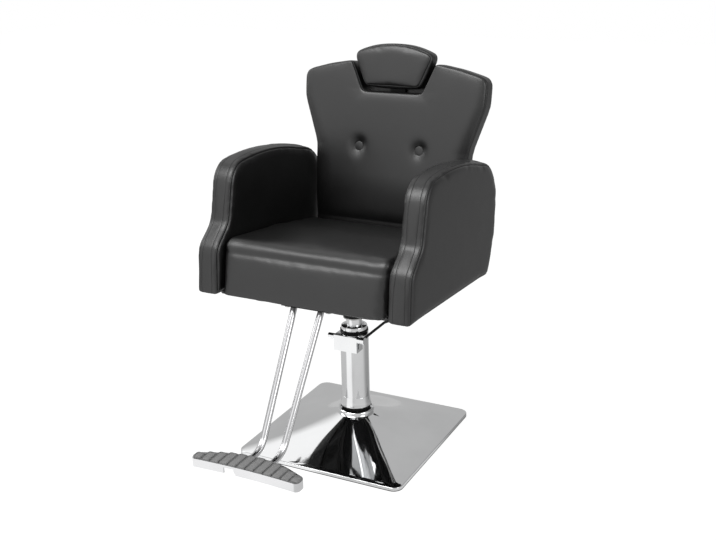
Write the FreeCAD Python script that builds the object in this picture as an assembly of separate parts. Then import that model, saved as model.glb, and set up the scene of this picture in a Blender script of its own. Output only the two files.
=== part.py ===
import FreeCAD, Part
import math
import os

# Threading chair: a salon chair on a square chrome base with a hydraulic pump, a padded
# bucket seat, a reclining back with a sliding headrest, and a footrest on two tubes.
# Millimetres. +Z is up, the sitter looks along -Y, and the origin is on the floor at the
# middle of the base.

# Fits shared by all pieces.
face_gap = 0.3
running_gap = 0.06
bolt_gap = 0.2
overrun = 4.0

# Base: rubber pad, weight plate and pressed cover with a neck for the column.
base_side = 450.0
base_corner = 24.0
pad_thickness = 2.0
plate_thickness = 6.0
plate_inset = 8.0
cover_sheet = 2.0
cover_rim_height = 10.0
cover_mid_reach = 130.0
cover_mid_height = 36.0
cover_peak_reach = 28.0
cover_peak_height = 76.0
cover_neck_radius = 46.0
cover_neck_height = 72.0

# Trim ring on the neck of the cover.
neck_ring_height = 9.0
neck_ring_radius = 47.5
neck_ring_round = 4.0

# Column of the pump, with its foot flange and bolts.
column_radius = 36.0
column_wall = 3.0
column_top = 293.0
flange_radius = 78.0
flange_thickness = 10.0
flange_bolt_circle = 62.0
flange_bolt_radius = 5.0
flange_bolt_head = 8.5
flange_bolt_head_height = 6.0
flange_bolt_count = 4
collar_radius = 40.5
collar_lift = 9.0
collar_height = 26.0

# Pressure cylinder inside the column, its floor and the cap that guides the ram.
cylinder_inner = 25.0
cylinder_wall = 4.0
cylinder_headroom = 68.0
cylinder_floor = 14.0
cap_radius = 34.0
cap_rise = 15.0
cap_top = column_top + cap_rise
cap_skirt = 20.0
wiper_radius = 26.0
wiper_height = 4.0

# Ram: the lift carries the seat from the lowest height upwards by ram_stroke.
ram_radius = 20.0
ram_bottom = 66.0
ram_showing = 20.0
ram_shoulder = cap_top + ram_showing
ram_spigot_radius = 16.0
ram_spigot_length = 66.0
ram_stroke = 150.0
piston_height = 26.0
piston_seal_height = 6.0
piston_seal_depth = 3.0
washer_radius = 27.0
washer_height = 3.0

# Pump head on the front of the column, with the axle of the foot lever.
head_half_width = 32.0
head_front = 51.0
head_back = 18.0
head_height = 41.0
head_slot_width = 9.0
head_slot_height = 17.0
head_slot_depth = 8.0
axle_radius = 4.5
axle_front = 43.5
axle_drop = 7.0
axle_height = column_top - axle_drop
axle_cap_radius = 7.5
axle_cap_length = 17.0
hub_radius = 9.0
hub_length = 19.0

# Foot lever behind the column.
lever_radius = 3.5
lever_level_reach = 90.0
lever_low_reach = 190.0
lever_low_drop = 24.0
lever_end_reach = 292.0
lever_bend = 60.0
pedal_overlap = 54.0
pedal_front = lever_end_reach - pedal_overlap
pedal_width = 62.0
pedal_depth = 66.0
pedal_thickness = 4.0
pedal_corner = 12.0
pedal_rubber = 6.0
pedal_rubber_inset = 4.0
pedal_rib_count = 5
pedal_rib_depth = 2.0
pedal_rib_width = 3.0

# The seat group stands on the ram and leans back by seat_tilt degrees.
seat_tilt = 3.97
socket_length = 93.5
shell_base_height = ram_shoulder + socket_length
seat_clear_width = 440.0
arm_width = 59.7
shell_half_width = seat_clear_width / 2 + arm_width

# Socket, ribs and mounting plate under the seat.
socket_radius = 27.0
socket_bottom = ram_shoulder + washer_height + face_gap
rib_reach = 82.0
rib_depth = 56.0
rib_thickness = 6.0
rib_edge = 6.0
mount_half_x = 90.0
mount_half_y = 100.0
mount_thickness = 6.0
mount_bolt_x = 74.0
mount_bolt_y = 84.0
mount_bolt_radius = 4.0
mount_bolt_head = 7.0
mount_bolt_head_height = 5.0
mount_bolt_bite = 14.0

# Seat board and the cloth that closes the underside.
board_thickness = 18.0
board_front = 240.0
board_rear = 205.0
dust_cloth = 1.0
dust_inset = 12.0

# Seat cushion: its front falls over the edge of the board as an apron.
apron_foot = 268.0
apron_drop = 2.0
cushion_front_top = 251.5
cushion_front_height = 140.0
cushion_mid_back = 40.0
cushion_mid_height = 133.0
cushion_rear = 167.0
cushion_rear_height = 112.0
cushion_front_round = 26.0
cushion_mid_round = 900.0
cushion_rear_round = 14.0
cushion_foot_round = 5.0
cushion_side_round = 15.0
cushion_gap = 0.4

# Arms: outline seen from the side, front foot first and then over the top, as shares of
# the length, the height and, for the radius, the length again.
arm_front = 272.0
arm_length = 531.0
arm_height = 324.0
arm_outline_shares = [
    (0.0, 0.0, 0.0113),
    (0.0038, 0.358, 0.0942),
    (0.1011, 0.5198, 0.113),
    (0.1461, 0.9472, 0.1281),
    (0.4772, 1.0287, 1.3748),
    (1.0, 0.8787, 0.2109),
    (0.9868, 0.3025, 0.3013),
    (0.9134, 0.0, 0.0226),
]
arm_band_thickness = 8.0
arm_panel_thickness = 10.0
arm_panel_recess = 1.5
arm_edge_round = 2.5
arm_bolt_radius = 4.0
arm_bolt_head = 7.0
arm_bolt_head_height = 5.0
arm_bolt_bite = 30.0
arm_bolt_back = 120.0
arm_bolt_front = 170.0

# Back: it leans behind the seat plane and turns about a pivot below its foot.
back_lean = 5.13
back_foot_y = 171.8
back_foot_z = 115.0
back_side_gap = 1.5
back_side = seat_clear_width / 2 - back_side_gap
back_flare = 40.0
back_half_width = back_side + back_flare
back_height = 416.0
back_foot = -45.0
back_foot_round = 10.0
back_waist = 194.0
back_waist_round = 120.0
back_wing_shares = [
    (0.9961, 0.75, 0.5029),
    (1.0, 0.9207, 0.1083),
    (0.7157, 0.9712, 1.1605),
]
notch_half_width = 116.5
notch_side_gap = 7.5
notch_low_gap = 12.0
notch_round = 10.0
notch_lip_round = 12.0
back_cushion_depth = 38.0
back_board_depth = 12.0
back_rear_depth = 10.0
back_board_inset = 8.0
back_front_round = 9.0
back_crown = 5.0
back_rear_round = 6.0

# Two covered buttons that are tied through the back cushion.
button_spacing = 170.0
button_height = 193.0
button_radius = 9.0
button_thickness = 8.0
button_dome = 3.0
dimple_radius = 27.0
dimple_depth = 13.0
button_cord_radius = 1.5

# Pivot of the back, in the seat frame, with brackets, pins and the cross tube.
pivot_y = 198.0
pivot_z = 42.0
pivot_pin_radius = 6.0
pivot_pin_head = 10.0
pivot_pin_head_length = 4.0
seat_ear_side_gap = 30.0
seat_ear_inner = seat_clear_width / 2 - seat_ear_side_gap
seat_ear_thickness = 5.0
seat_ear_round = 17.0
seat_ear_front = 30.0
seat_ear_corner = 15.0
seat_ear_low_corner = 8.0
seat_ear_foot_width = 24.0
back_ear_thickness = 5.0
back_ear_gap = 0.8
back_ear_round = 16.0
back_ear_corner = 14.0
back_leg_width = 40.0
back_leg_thickness = 3.0
back_leg_top = 70.0
back_leg_screw_radius = 3.0
back_leg_screw_spacing = 46.0
back_leg_screw_inset_x = 24.0
back_leg_screw_inset_z = 14.0
cross_tube_radius = 11.0
cross_tube_wall = 2.0
recline_range = 40.0

# Gas spring between the mounting plate and the lever on the cross tube.
spring_x = 58.0
spring_lever_length = 75.0
spring_lever_thickness = 6.0
spring_lever_width = 18.0
spring_pin_radius = 5.0
spring_pin_half = 11.0
spring_radius = 10.0
spring_wall = 1.5
spring_rod_radius = 4.0
spring_front = 30.0
spring_rear = 130.0
spring_cap = 6.0
spring_ear_thickness = 5.0
spring_ear_width = 28.0
yoke_ear_thickness = 4.0
yoke_gap = 1.0
yoke_height = 26.0
yoke_front = 20.0
yoke_rear = 10.0
yoke_slot_gap = 0.5
yoke_slot_travel = 3.2

# Release lever on the sitter's right side.
release_y = 20.0
release_z = 15.0
release_radius = 4.0
release_inner = 130.0
release_overhang = 16.3
release_outer = shell_half_width + release_overhang
release_ear_inset = 10.0
release_shaft_end = 20.0
release_ear_x = (release_inner + release_shaft_end, seat_clear_width / 2 - release_ear_inset)
release_ear_thickness = 4.0
release_ear_half = 9.0
release_paddle_width = 9.0
release_paddle_height = 14.0
release_paddle_length = 92.0
release_grip_length = 56.0
release_grip_wall = 2.5
release_collar_radius = 7.0
release_collar_width = 5.0

# Headrest: a trapezoid pad with an arched top on a flat bar that slides in the back.
headrest_low_half = 74.5
headrest_half = 111.0
headrest_foot = 348.5
headrest_side = 82.5
headrest_arch = 43.0
headrest_shoulder = headrest_foot + headrest_side
headrest_foot_round = 14.0
headrest_shoulder_round = 16.0
headrest_crest_share = 0.846
headrest_front = 3.0
headrest_depth = 36.0
headrest_board_depth = 9.0
headrest_board_inset = 5.0
headrest_round = 6.0
headrest_crown = 7.0
bar_width = 42.0
bar_thickness = 5.0
bar_top_gap = 11.0
bar_high = headrest_shoulder - bar_top_gap
bar_grip = 50.0
bar_gap = 0.4
guide_wall = 1.5
guide_low = 150.0
headrest_travel = 90.0
bar_screw_radius = 3.0
bar_screw_spacing = 36.0
bar_screw_inset = 14.0

# Footrest: two tubes that run down from the seat board to a cast tray with a ribbed pad.
foot_tube_radius = 8.0
foot_tube_wall = 1.5
foot_tube_bend = 60.0
foot_tube_top_x = 36.0
foot_tube_top_y = 221.6
foot_tube_top_z = 7.8
foot_tube_knee_x = 27.4
foot_tube_knee_y = 412.8
foot_tube_end_x = 26.0
foot_tube_end_y = 516.0
foot_tube_low_z = 150.0
foot_plate_half = 64.0
foot_plate_front = 239.0
foot_plate_rear = 186.0
foot_plate_thickness = 5.0
foot_plate_bolt_x = 54.0
foot_plate_bolt_inset = 14.0
tray_front = 530.0
tray_depth = 66.0
tray_half_width = 137.0
tray_hollow_share = 0.1364
tray_outline_shares = [
    (0.0, tray_hollow_share, 25.76),
    (0.9927, 0.0, 0.1515),
    (1.0, 0.4545, 0.2727),
    (0.5109, 0.8636, 1.8182),
    (0.0, 1.0, 3.0303),
]
tray_cover = 7.0
tray_height = 20.0
tray_top = foot_tube_low_z + foot_tube_radius + tray_cover
tray_bottom = tray_top - tray_height
tray_wall = 4.0
tray_floor = 4.0
tray_notch_x = (-53.0, -23.0)
foot_pad_inset = 3.0
foot_pad_sink = 2.0
foot_pad_thickness = 5.0
foot_pad_groove_count = 11
foot_pad_groove_width = 3.0
foot_pad_groove_depth = 2.0


def vector(x, y, z):
    return FreeCAD.Vector(x, y, z)


def on_side(y, z):
    return vector(0, y, z)


def on_front(x, z):
    return vector(x, 0, z)


def on_plan(x, y):
    return vector(x, y, 0)


def box(x_range, y_range, z_range):
    """A block between three pairs of limits."""
    size = (x_range[1] - x_range[0], y_range[1] - y_range[0], z_range[1] - z_range[0])
    return Part.makeBox(size[0], size[1], size[2], vector(x_range[0], y_range[0], z_range[0]))


def rod(radius, start, end):
    """A round bar between two points."""
    return Part.makeCylinder(radius, (end - start).Length, start, end - start)


def ring(outer, inner, z_low, z_high):
    """An upright ring on the axis of the column."""
    body = rod(outer, vector(0, 0, z_low), vector(0, 0, z_high))
    return body.cut(rod(inner, vector(0, 0, z_low - overrun), vector(0, 0, z_high + overrun)))


def rounded_face(corners, to_space):
    """A flat face from corners (a, b, radius): straight edges joined by tangent arcs."""
    points = [to_space(a, b) for a, b, radius in corners]
    stretches = []
    for index, corner in enumerate(points):
        radius = corners[index][2]
        before = (points[index - 1] - corner).normalize()
        after = (points[(index + 1) % len(points)] - corner).normalize()
        half_angle = before.getAngle(after) / 2
        reach = radius / math.tan(half_angle)
        bisector = (before + after).normalize()
        middle = corner + bisector * (radius / math.sin(half_angle) - radius)
        stretches.append((corner + before * reach, middle, corner + after * reach))
    edges = []
    for index, (enter, middle, leave) in enumerate(stretches):
        if corners[index][2] > 0:
            edges.append(Part.Arc(enter, middle, leave).toShape())
        next_enter = stretches[(index + 1) % len(stretches)][0]
        edges.append(Part.makeLine(leave, next_enter))
    return Part.Face(Part.Wire(edges))


def prism(corners, to_space, travel):
    """A rounded outline pushed out along one vector."""
    return rounded_face(corners, to_space).extrude(travel)


def inset_prism(face, inset, start, travel):
    """A face drawn in by inset all round, moved to start and pushed out."""
    shape = face
    if inset > 0:
        shape = face.makeOffset2D(-inset)
    moved = shape.copy()
    moved.translate(start)
    return moved.extrude(travel)


def mirrored(corners):
    """Right half of an outline, from foot to crest, completed to both sides."""
    left = [(-a, b, radius) for a, b, radius in reversed(corners) if a > 0]
    return list(corners) + left


def in_seat(shape):
    """Places a shape drawn in the seat frame."""
    moved = shape.copy()
    moved.rotate(vector(0, 0, 0), vector(1, 0, 0), -seat_tilt)
    moved.translate(vector(0, 0, shell_base_height))
    return moved


def in_back(shape):
    """Places a shape drawn in the frame of the back: y is depth, z runs up its face."""
    moved = shape.copy()
    moved.rotate(vector(0, 0, 0), vector(1, 0, 0), -back_lean)
    moved.translate(vector(0, back_foot_y, back_foot_z))
    return in_seat(moved)


def seat_to_back(y, z):
    """Depth and height in the back frame of a point of the seat frame."""
    lean = math.radians(back_lean)
    step_y = y - back_foot_y
    step_z = z - back_foot_z
    depth = step_y * math.cos(lean) - step_z * math.sin(lean)
    height = step_y * math.sin(lean) + step_z * math.cos(lean)
    return depth, height


def rounded_path(points, bend):
    """An open path of straight runs joined by arcs of one radius."""
    edges = []
    run_start = points[0]
    for index in range(1, len(points) - 1):
        corner = points[index]
        before = (points[index - 1] - corner).normalize()
        after = (points[index + 1] - corner).normalize()
        half_angle = before.getAngle(after) / 2
        reach = bend / math.tan(half_angle)
        bisector = (before + after).normalize()
        middle = corner + bisector * (bend / math.sin(half_angle) - bend)
        edges.append(Part.makeLine(run_start, corner + before * reach))
        edges.append(Part.Arc(corner + before * reach, middle, corner + after * reach).toShape())
        run_start = corner + after * reach
    edges.append(Part.makeLine(run_start, points[-1]))
    return Part.Wire(edges)


def bent_bar(points, bend, radius):
    """A round bar along a path of straight runs and arcs."""
    start_circle = Part.makeCircle(radius, points[0], points[1] - points[0])
    return rounded_path(points, bend).makePipeShell([Part.Wire(start_circle)], True, False)


def crowned(shape, front, crown, half_width):
    """Cuts the front of a cushion to a shallow barrel that drops by crown at half_width."""
    radius = (half_width ** 2 + crown ** 2) / (2 * crown)
    centre = front + radius
    reach = half_width * 6
    barrel = rod(radius, vector(0, centre, -reach), vector(0, centre, reach))
    return shape.common(barrel)


def edges_where(shape, test):
    """Edges of a shape whose midpoint passes a test."""
    chosen = []
    for edge in shape.Edges:
        middle = edge.valueAt((edge.FirstParameter + edge.LastParameter) / 2)
        if test(middle):
            chosen.append(edge)
    return chosen


def seat_above_mount():
    """All space above the underside of the mounting plate."""
    reach = base_side
    return in_seat(box((-reach, reach), (-reach, reach), (-mount_thickness, reach)))


# Base and column.

def base_pad():
    half = base_side / 2
    corners = [(half, -half, base_corner), (half, half, base_corner),
               (-half, half, base_corner), (-half, -half, base_corner)]
    return prism(corners, on_plan, vector(0, 0, pad_thickness))


def base_plate():
    half = base_side / 2 - plate_inset
    corner = base_corner - plate_inset
    corners = [(half, -half, corner), (half, half, corner),
               (-half, half, corner), (-half, -half, corner)]
    body = prism(corners, on_plan, vector(0, 0, plate_thickness))
    body.translate(vector(0, 0, pad_thickness))
    return body.cut(flange_bolt_bars(flange_bolt_radius + bolt_gap))


def cover_solid(drop):
    """Four concave faces that meet at the diagonals under a round neck, lowered by drop."""
    half = base_side / 2 - drop
    rim = cover_rim_height - drop
    middle = cover_mid_height - drop
    peak_reach = cover_peak_reach - drop
    peak = cover_peak_height - drop
    outline = [
        Part.makeLine(vector(-half, 0, 0), vector(-half, 0, rim)),
        Part.Arc(vector(-half, 0, rim), vector(-cover_mid_reach, 0, middle),
                 vector(-peak_reach, 0, peak)).toShape(),
        Part.makeLine(vector(-peak_reach, 0, peak), vector(peak_reach, 0, peak)),
        Part.Arc(vector(peak_reach, 0, peak), vector(cover_mid_reach, 0, middle),
                 vector(half, 0, rim)).toShape(),
        Part.makeLine(vector(half, 0, rim), vector(half, 0, 0)),
        Part.makeLine(vector(half, 0, 0), vector(-half, 0, 0)),
    ]
    ridge = Part.Face(Part.Wire(outline))
    ridge.translate(vector(0, -half, 0))
    lengthwise = ridge.extrude(vector(0, 2 * half, 0))
    crosswise = lengthwise.copy()
    crosswise.rotate(vector(0, 0, 0), vector(0, 0, 1), 90)
    corner = base_corner - drop
    corners = [(half, -half, corner), (half, half, corner),
               (-half, half, corner), (-half, -half, corner)]
    neck = cover_neck_height - drop
    footprint = prism(corners, on_plan, vector(0, 0, neck))
    pyramid = lengthwise.common(crosswise).common(footprint)
    collar = rod(cover_neck_radius - drop, vector(0, 0, cover_rim_height), vector(0, 0, neck))
    return pyramid.fuse(collar)


def base_cover():
    body = cover_solid(0).cut(cover_solid(cover_sheet))
    floor = box((-base_side, base_side), (-base_side, base_side), (-overrun, pad_thickness))
    hole_top = vector(0, 0, cover_neck_height + overrun)
    hole = rod(column_radius + cover_sheet, vector(0, 0, 0), hole_top)
    return body.cut(floor).cut(hole)


def neck_ring():
    top = cover_neck_height + neck_ring_height
    body = ring(neck_ring_radius, column_radius + cover_sheet, cover_neck_height, top)
    outer_edges = edges_where(body, lambda p: math.hypot(p.x, p.y) > neck_ring_radius - overrun)
    outer_loops = [edge for edge in outer_edges if edge.Length > neck_ring_radius]
    return body.makeFillet(neck_ring_round, outer_loops)


def flange_bolt_bars(radius):
    """Shanks of the flange bolts, from the plate to the top of the flange."""
    low = pad_thickness
    high = pad_thickness + plate_thickness + flange_thickness
    bars = []
    for index in range(flange_bolt_count):
        angle = math.radians(360 / flange_bolt_count * (index + 0.5))
        x = flange_bolt_circle * math.cos(angle)
        y = flange_bolt_circle * math.sin(angle)
        bars.append(rod(radius, vector(x, y, low), vector(x, y, high)))
    return Part.makeCompound(bars)


def pump_flange():
    low = pad_thickness + plate_thickness
    body = rod(flange_radius, vector(0, 0, low), vector(0, 0, low + flange_thickness))
    recess = rod(column_radius, vector(0, 0, low + flange_thickness / 2),
                 vector(0, 0, low + flange_thickness + overrun))
    return body.cut(recess).cut(flange_bolt_bars(flange_bolt_radius + bolt_gap))


def flange_bolts():
    seat = pad_thickness + plate_thickness + flange_thickness
    bolts = []
    for bar in flange_bolt_bars(flange_bolt_radius).Solids:
        centre = bar.CenterOfMass
        head = rod(flange_bolt_head, vector(centre.x, centre.y, seat),
                   vector(centre.x, centre.y, seat + flange_bolt_head_height))
        bolts.append(bar.fuse(head).removeSplitter())
    return Part.makeCompound(bolts)


def pump_column():
    low = pad_thickness + plate_thickness + flange_thickness / 2
    return ring(column_radius, column_radius - column_wall, low, column_top)


def column_collar():
    """Flared trim at the foot of the column."""
    low = cover_neck_height + neck_ring_height + collar_lift
    body = Part.makeCone(collar_radius, column_radius + face_gap, collar_height, vector(0, 0, low))
    bore = rod(column_radius, vector(0, 0, 0), vector(0, 0, column_top))
    return body.cut(bore)


def cylinder_top():
    """The cylinder reaches above the piston at the end of its stroke."""
    return ram_bottom + ram_stroke + cylinder_headroom


def pressure_cylinder():
    low = pad_thickness + plate_thickness + flange_thickness / 2
    outer = cylinder_inner + cylinder_wall
    body = rod(outer, vector(0, 0, low), vector(0, 0, cylinder_top()))
    bore = rod(cylinder_inner, vector(0, 0, low + cylinder_floor), vector(0, 0, cylinder_top() + overrun))
    return body.cut(bore)


def column_cap():
    """Closes the column and guides the ram."""
    skirt = ring(column_radius - column_wall, ram_radius + running_gap, column_top - cap_skirt, column_top)
    skirt = skirt.cut(rod(cylinder_inner + cylinder_wall, vector(0, 0, 0), vector(0, 0, cylinder_top())))
    crown = ring(cap_radius, ram_radius + running_gap, column_top, cap_top)
    groove = rod(wiper_radius, vector(0, 0, cap_top - wiper_height), vector(0, 0, cap_top + overrun))
    return skirt.fuse(crown).removeSplitter().cut(groove)


def wiper_seal():
    return ring(wiper_radius, ram_radius + running_gap, cap_top - wiper_height, cap_top)


def head_bottom():
    return column_top - head_height


def pump_head():
    """Block on the front of the column, with the bore of the lever's axle."""
    body = box((-head_half_width, head_half_width), (-head_front, -head_back), (head_bottom(), column_top))
    body = body.cut(rod(column_radius, vector(0, 0, head_bottom() - overrun),
                        vector(0, 0, column_top + overrun)))
    bore = rod(axle_radius + running_gap, vector(-head_front, -axle_front, axle_height),
               vector(head_front, -axle_front, axle_height))
    slot_top = axle_height - hub_radius
    slot = box((head_half_width - head_slot_depth, head_half_width + overrun),
               (-axle_front - head_slot_width / 2, -axle_front + head_slot_width / 2),
               (slot_top - head_slot_height, slot_top))
    return body.cut(bore).cut(slot)


# Foot lever.

def lever_axle():
    """Axle with a cap on the sitter's right side of the head."""
    cap_inner = -head_half_width - face_gap
    cap_outer = cap_inner - axle_cap_length
    hub_outer = head_half_width + face_gap + hub_length
    bar = rod(axle_radius, vector(cap_outer, -axle_front, axle_height),
              vector(hub_outer, -axle_front, axle_height))
    cap = rod(axle_cap_radius, vector(cap_outer, -axle_front, axle_height),
              vector(cap_inner, -axle_front, axle_height))
    return bar.fuse(cap).removeSplitter()


def lever_x():
    return head_half_width + face_gap + hub_length / 2


def lever_hub():
    inner = head_half_width + face_gap
    body = rod(hub_radius, vector(inner, -axle_front, axle_height),
               vector(inner + hub_length, -axle_front, axle_height))
    bore = rod(axle_radius, vector(0, -axle_front, axle_height),
               vector(inner + hub_length + overrun, -axle_front, axle_height))
    return body.cut(bore)


def pedal_level():
    return axle_height - lever_low_drop


def lever_rod():
    x = lever_x()
    path = [
        vector(x, -axle_front, axle_height),
        vector(x, lever_level_reach, axle_height),
        vector(x, lever_low_reach, pedal_level()),
        vector(x, lever_end_reach, pedal_level()),
    ]
    around_hub = rod(hub_radius, vector(0, -axle_front, axle_height),
                     vector(x + hub_length, -axle_front, axle_height))
    return bent_bar(path, lever_bend, lever_radius).cut(around_hub)


def pedal_corners(inset):
    half = pedal_width / 2 - inset
    x = lever_x()
    front = pedal_front + inset
    rear = pedal_front + pedal_depth - inset
    corner = pedal_corner - inset
    return [(x + half, front, corner), (x + half, rear, corner),
            (x - half, rear, corner), (x - half, front, corner)]


def pedal_plate():
    low = pedal_level() + lever_radius
    body = prism(pedal_corners(0), on_plan, vector(0, 0, pedal_thickness))
    body.translate(vector(0, 0, low))
    return body


def pedal_rubber_pad():
    low = pedal_level() + lever_radius + pedal_thickness
    body = prism(pedal_corners(pedal_rubber_inset), on_plan, vector(0, 0, pedal_rubber))
    pitch = pedal_depth / (pedal_rib_count + 1)
    grooves = []
    for index in range(pedal_rib_count):
        y = pedal_front + pitch * (index + 1)
        grooves.append(box((lever_x() - pedal_width, lever_x() + pedal_width),
                           (y - pedal_rib_width / 2, y + pedal_rib_width / 2),
                           (pedal_rubber - pedal_rib_depth, pedal_rubber + overrun)))
    body = body.cut(Part.makeCompound(grooves))
    body.translate(vector(0, 0, low))
    return body


# Ram.

def ram_spigot_top():
    return ram_shoulder + ram_spigot_length


def ram_rod():
    body = rod(ram_radius, vector(0, 0, ram_bottom), vector(0, 0, ram_shoulder))
    spigot = rod(ram_spigot_radius, vector(0, 0, ram_bottom), vector(0, 0, ram_spigot_top()))
    return body.fuse(spigot).removeSplitter()


def piston():
    low = ram_bottom - piston_height
    body = rod(cylinder_inner - running_gap, vector(0, 0, low), vector(0, 0, ram_bottom))
    middle = (low + ram_bottom) / 2
    groove = ring(cylinder_inner + overrun, cylinder_inner - piston_seal_depth,
                  middle - piston_seal_height / 2, middle + piston_seal_height / 2)
    return body.cut(groove)


def piston_seal():
    middle = ram_bottom - piston_height / 2
    return ring(cylinder_inner - running_gap / 2, cylinder_inner - piston_seal_depth,
                middle - piston_seal_height / 2, middle + piston_seal_height / 2)


def thrust_washer():
    return ring(washer_radius, ram_spigot_radius + running_gap, ram_shoulder, ram_shoulder + washer_height)


# Seat carrier.

def seat_socket():
    """Round socket that turns on the spigot of the ram, with a rib in front and behind."""
    high = shell_base_height + socket_radius
    body = rod(socket_radius, vector(0, 0, socket_bottom), vector(0, 0, high))
    for side in (-1, 1):
        low = shell_base_height - mount_thickness
        corners = [
            (0, low - rib_depth, 0),
            (side * socket_radius, low - rib_depth, 0),
            (side * rib_reach, low - rib_edge, 0),
            (side * rib_reach, high, 0),
            (0, high, 0),
        ]
        rib = prism(corners, on_side, vector(rib_thickness, 0, 0))
        rib.translate(vector(-rib_thickness / 2, 0, 0))
        body = body.fuse(rib)
    bore = rod(ram_spigot_radius + running_gap, vector(0, 0, socket_bottom - overrun),
               vector(0, 0, ram_spigot_top() + face_gap))
    return body.removeSplitter().cut(seat_above_mount()).cut(bore)


def mount_plate():
    """Plate under the board, with the hanging bracket of the gas spring welded on."""
    body = box((-mount_half_x, mount_half_x), (-mount_half_y, mount_half_y), (-mount_thickness, 0))
    z = spring_line_z()
    half = spring_ear_width / 2
    bracket = box((spring_x - half, spring_x + half), (-spring_front, -spring_front + spring_ear_thickness),
                  (z - half, -mount_thickness))
    body = body.fuse(bracket).removeSplitter()
    body = body.cut(rod(spring_radius, vector(spring_x, -spring_front - overrun, z),
                        vector(spring_x, spring_front, z)))
    return in_seat(body.cut(board_bolt_bars(mount_bolt_radius + bolt_gap)))


def board_bolt_sites():
    """Bolts that hold the mounting plate and the plate of the footrest: x, y, head height."""
    sites = []
    for x in (-mount_bolt_x, mount_bolt_x):
        for y in (-mount_bolt_y, mount_bolt_y):
            sites.append((x, y, -mount_thickness))
    for x in (-foot_plate_bolt_x, foot_plate_bolt_x):
        for y in (-foot_plate_front + foot_plate_bolt_inset, -foot_plate_rear - foot_plate_bolt_inset):
            sites.append((x, y, -foot_plate_thickness))
    return sites


def board_bolt_bars(radius):
    bars = [rod(radius, vector(x, y, z), vector(x, y, mount_bolt_bite)) for x, y, z in board_bolt_sites()]
    return Part.makeCompound(bars)


def board_bolts():
    bolts = []
    bars = board_bolt_bars(mount_bolt_radius).Solids
    for bar, (x, y, z) in zip(bars, board_bolt_sites()):
        head = rod(mount_bolt_head, vector(x, y, z - mount_bolt_head_height), vector(x, y, z))
        bolts.append(bar.fuse(head).removeSplitter())
    return in_seat(Part.makeCompound(bolts))


def spring_notch(gap, z_low, z_high):
    """Room for the spring's lever at the rear edge of the board."""
    half = spring_lever_thickness / 2 + gap
    front = pivot_y - spring_lever_width - gap * 2
    return box((spring_x - half, spring_x + half), (front, board_rear + overrun), (z_low, z_high))


def seat_board():
    half = seat_clear_width / 2
    body = box((-half, half), (-board_front, board_rear), (0, board_thickness))
    body = body.cut(board_bolt_bars(mount_bolt_radius + bolt_gap))
    body = body.cut(arm_bolt_bars(arm_bolt_radius + bolt_gap))
    notch_gap = yoke_ear_thickness
    return in_seat(body.cut(spring_notch(notch_gap, -overrun, board_thickness + overrun)))


def dust_cover():
    """Thin cloth under the board, open round the mounting plate and the footrest plate."""
    half = seat_clear_width / 2 - dust_inset
    body = box((-half, half), (-board_front + dust_inset, board_rear - dust_inset), (-dust_cloth, 0))
    margin = dust_inset / 2
    body = body.cut(box((-mount_half_x - margin, mount_half_x + margin),
                        (-mount_half_y - margin, mount_half_y + margin), (-overrun, overrun)))
    body = body.cut(box((-foot_plate_half - margin, foot_plate_half + margin),
                        (-board_front - margin, -foot_plate_rear + margin), (-overrun, overrun)))
    body = body.cut(spring_notch(dust_inset, -overrun, overrun))
    for ear in release_ear_x:
        body = body.cut(box((-ear - dust_inset, -ear + dust_inset),
                            (release_y - dust_inset * 2, release_y + dust_inset * 2), (-overrun, overrun)))
    return in_seat(body)


def seat_cushion():
    half = seat_clear_width / 2 - cushion_gap
    rest = board_thickness + cushion_gap
    corners = [
        (-apron_foot, -apron_drop, cushion_foot_round),
        (-cushion_front_top, cushion_front_height, cushion_front_round),
        (-cushion_mid_back, cushion_mid_height, cushion_mid_round),
        (cushion_rear, cushion_rear_height, cushion_rear_round),
        (cushion_rear, rest, 0),
        (-board_front - cushion_gap, rest, 0),
        (-board_front - cushion_gap, -apron_drop, 0),
    ]
    body = prism(corners, on_side, vector(2 * half, 0, 0))
    body.translate(vector(-half, 0, 0))
    side_edges = edges_where(body, lambda p: abs(abs(p.x) - half) < face_gap and p.z > rest + overrun)
    return in_seat(body.makeFillet(cushion_side_round, side_edges))


# Arms.

def arm_face():
    corners = []
    for along, up, radius in arm_outline_shares:
        corners.append((along * arm_length - arm_front, up * arm_height, radius * arm_length))
    return rounded_face(corners, on_side)


def arm_layer(side, inset, x_near, x_far):
    """A slice of the arm between two distances from the middle, drawn in by inset."""
    start = vector(side * x_near, 0, 0)
    return inset_prism(arm_face(), inset, start, vector(side * (x_far - x_near), 0, 0))


def arm_inner_x():
    return seat_clear_width / 2


def arm_band(side):
    """Padded strip that wraps the edges of the arm all round."""
    body = arm_layer(side, 0, arm_inner_x(), shell_half_width)
    round_edges = edges_where(body, lambda p: p.z > overrun and (
        abs(abs(p.x) - shell_half_width) < face_gap or abs(abs(p.x) - arm_inner_x()) < face_gap))
    body = body.makeFillet(arm_edge_round, round_edges)
    room = arm_layer(side, arm_band_thickness, arm_inner_x() - overrun, shell_half_width + overrun)
    body = body.cut(room).cut(arm_bolt_bars(arm_bolt_radius + bolt_gap))
    return in_seat(body.cut(arm_bolt_heads(bolt_gap)))


def arm_core(side):
    near = arm_inner_x() + arm_panel_recess + arm_panel_thickness
    far = shell_half_width - arm_panel_recess - arm_panel_thickness
    body = arm_layer(side, arm_band_thickness, near, far)
    return in_seat(body.cut(arm_bolt_bars(arm_bolt_radius + bolt_gap)).cut(arm_bolt_heads(bolt_gap)))


def arm_inner_panel(side):
    near = arm_inner_x() + arm_panel_recess
    far = near + arm_panel_thickness
    body = arm_layer(side, arm_band_thickness, near, far)
    return in_seat(body.cut(arm_bolt_bars(arm_bolt_radius + bolt_gap)))


def arm_outer_panel(side):
    far = shell_half_width - arm_panel_recess
    return in_seat(arm_layer(side, arm_band_thickness, far - arm_panel_thickness, far))


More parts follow.
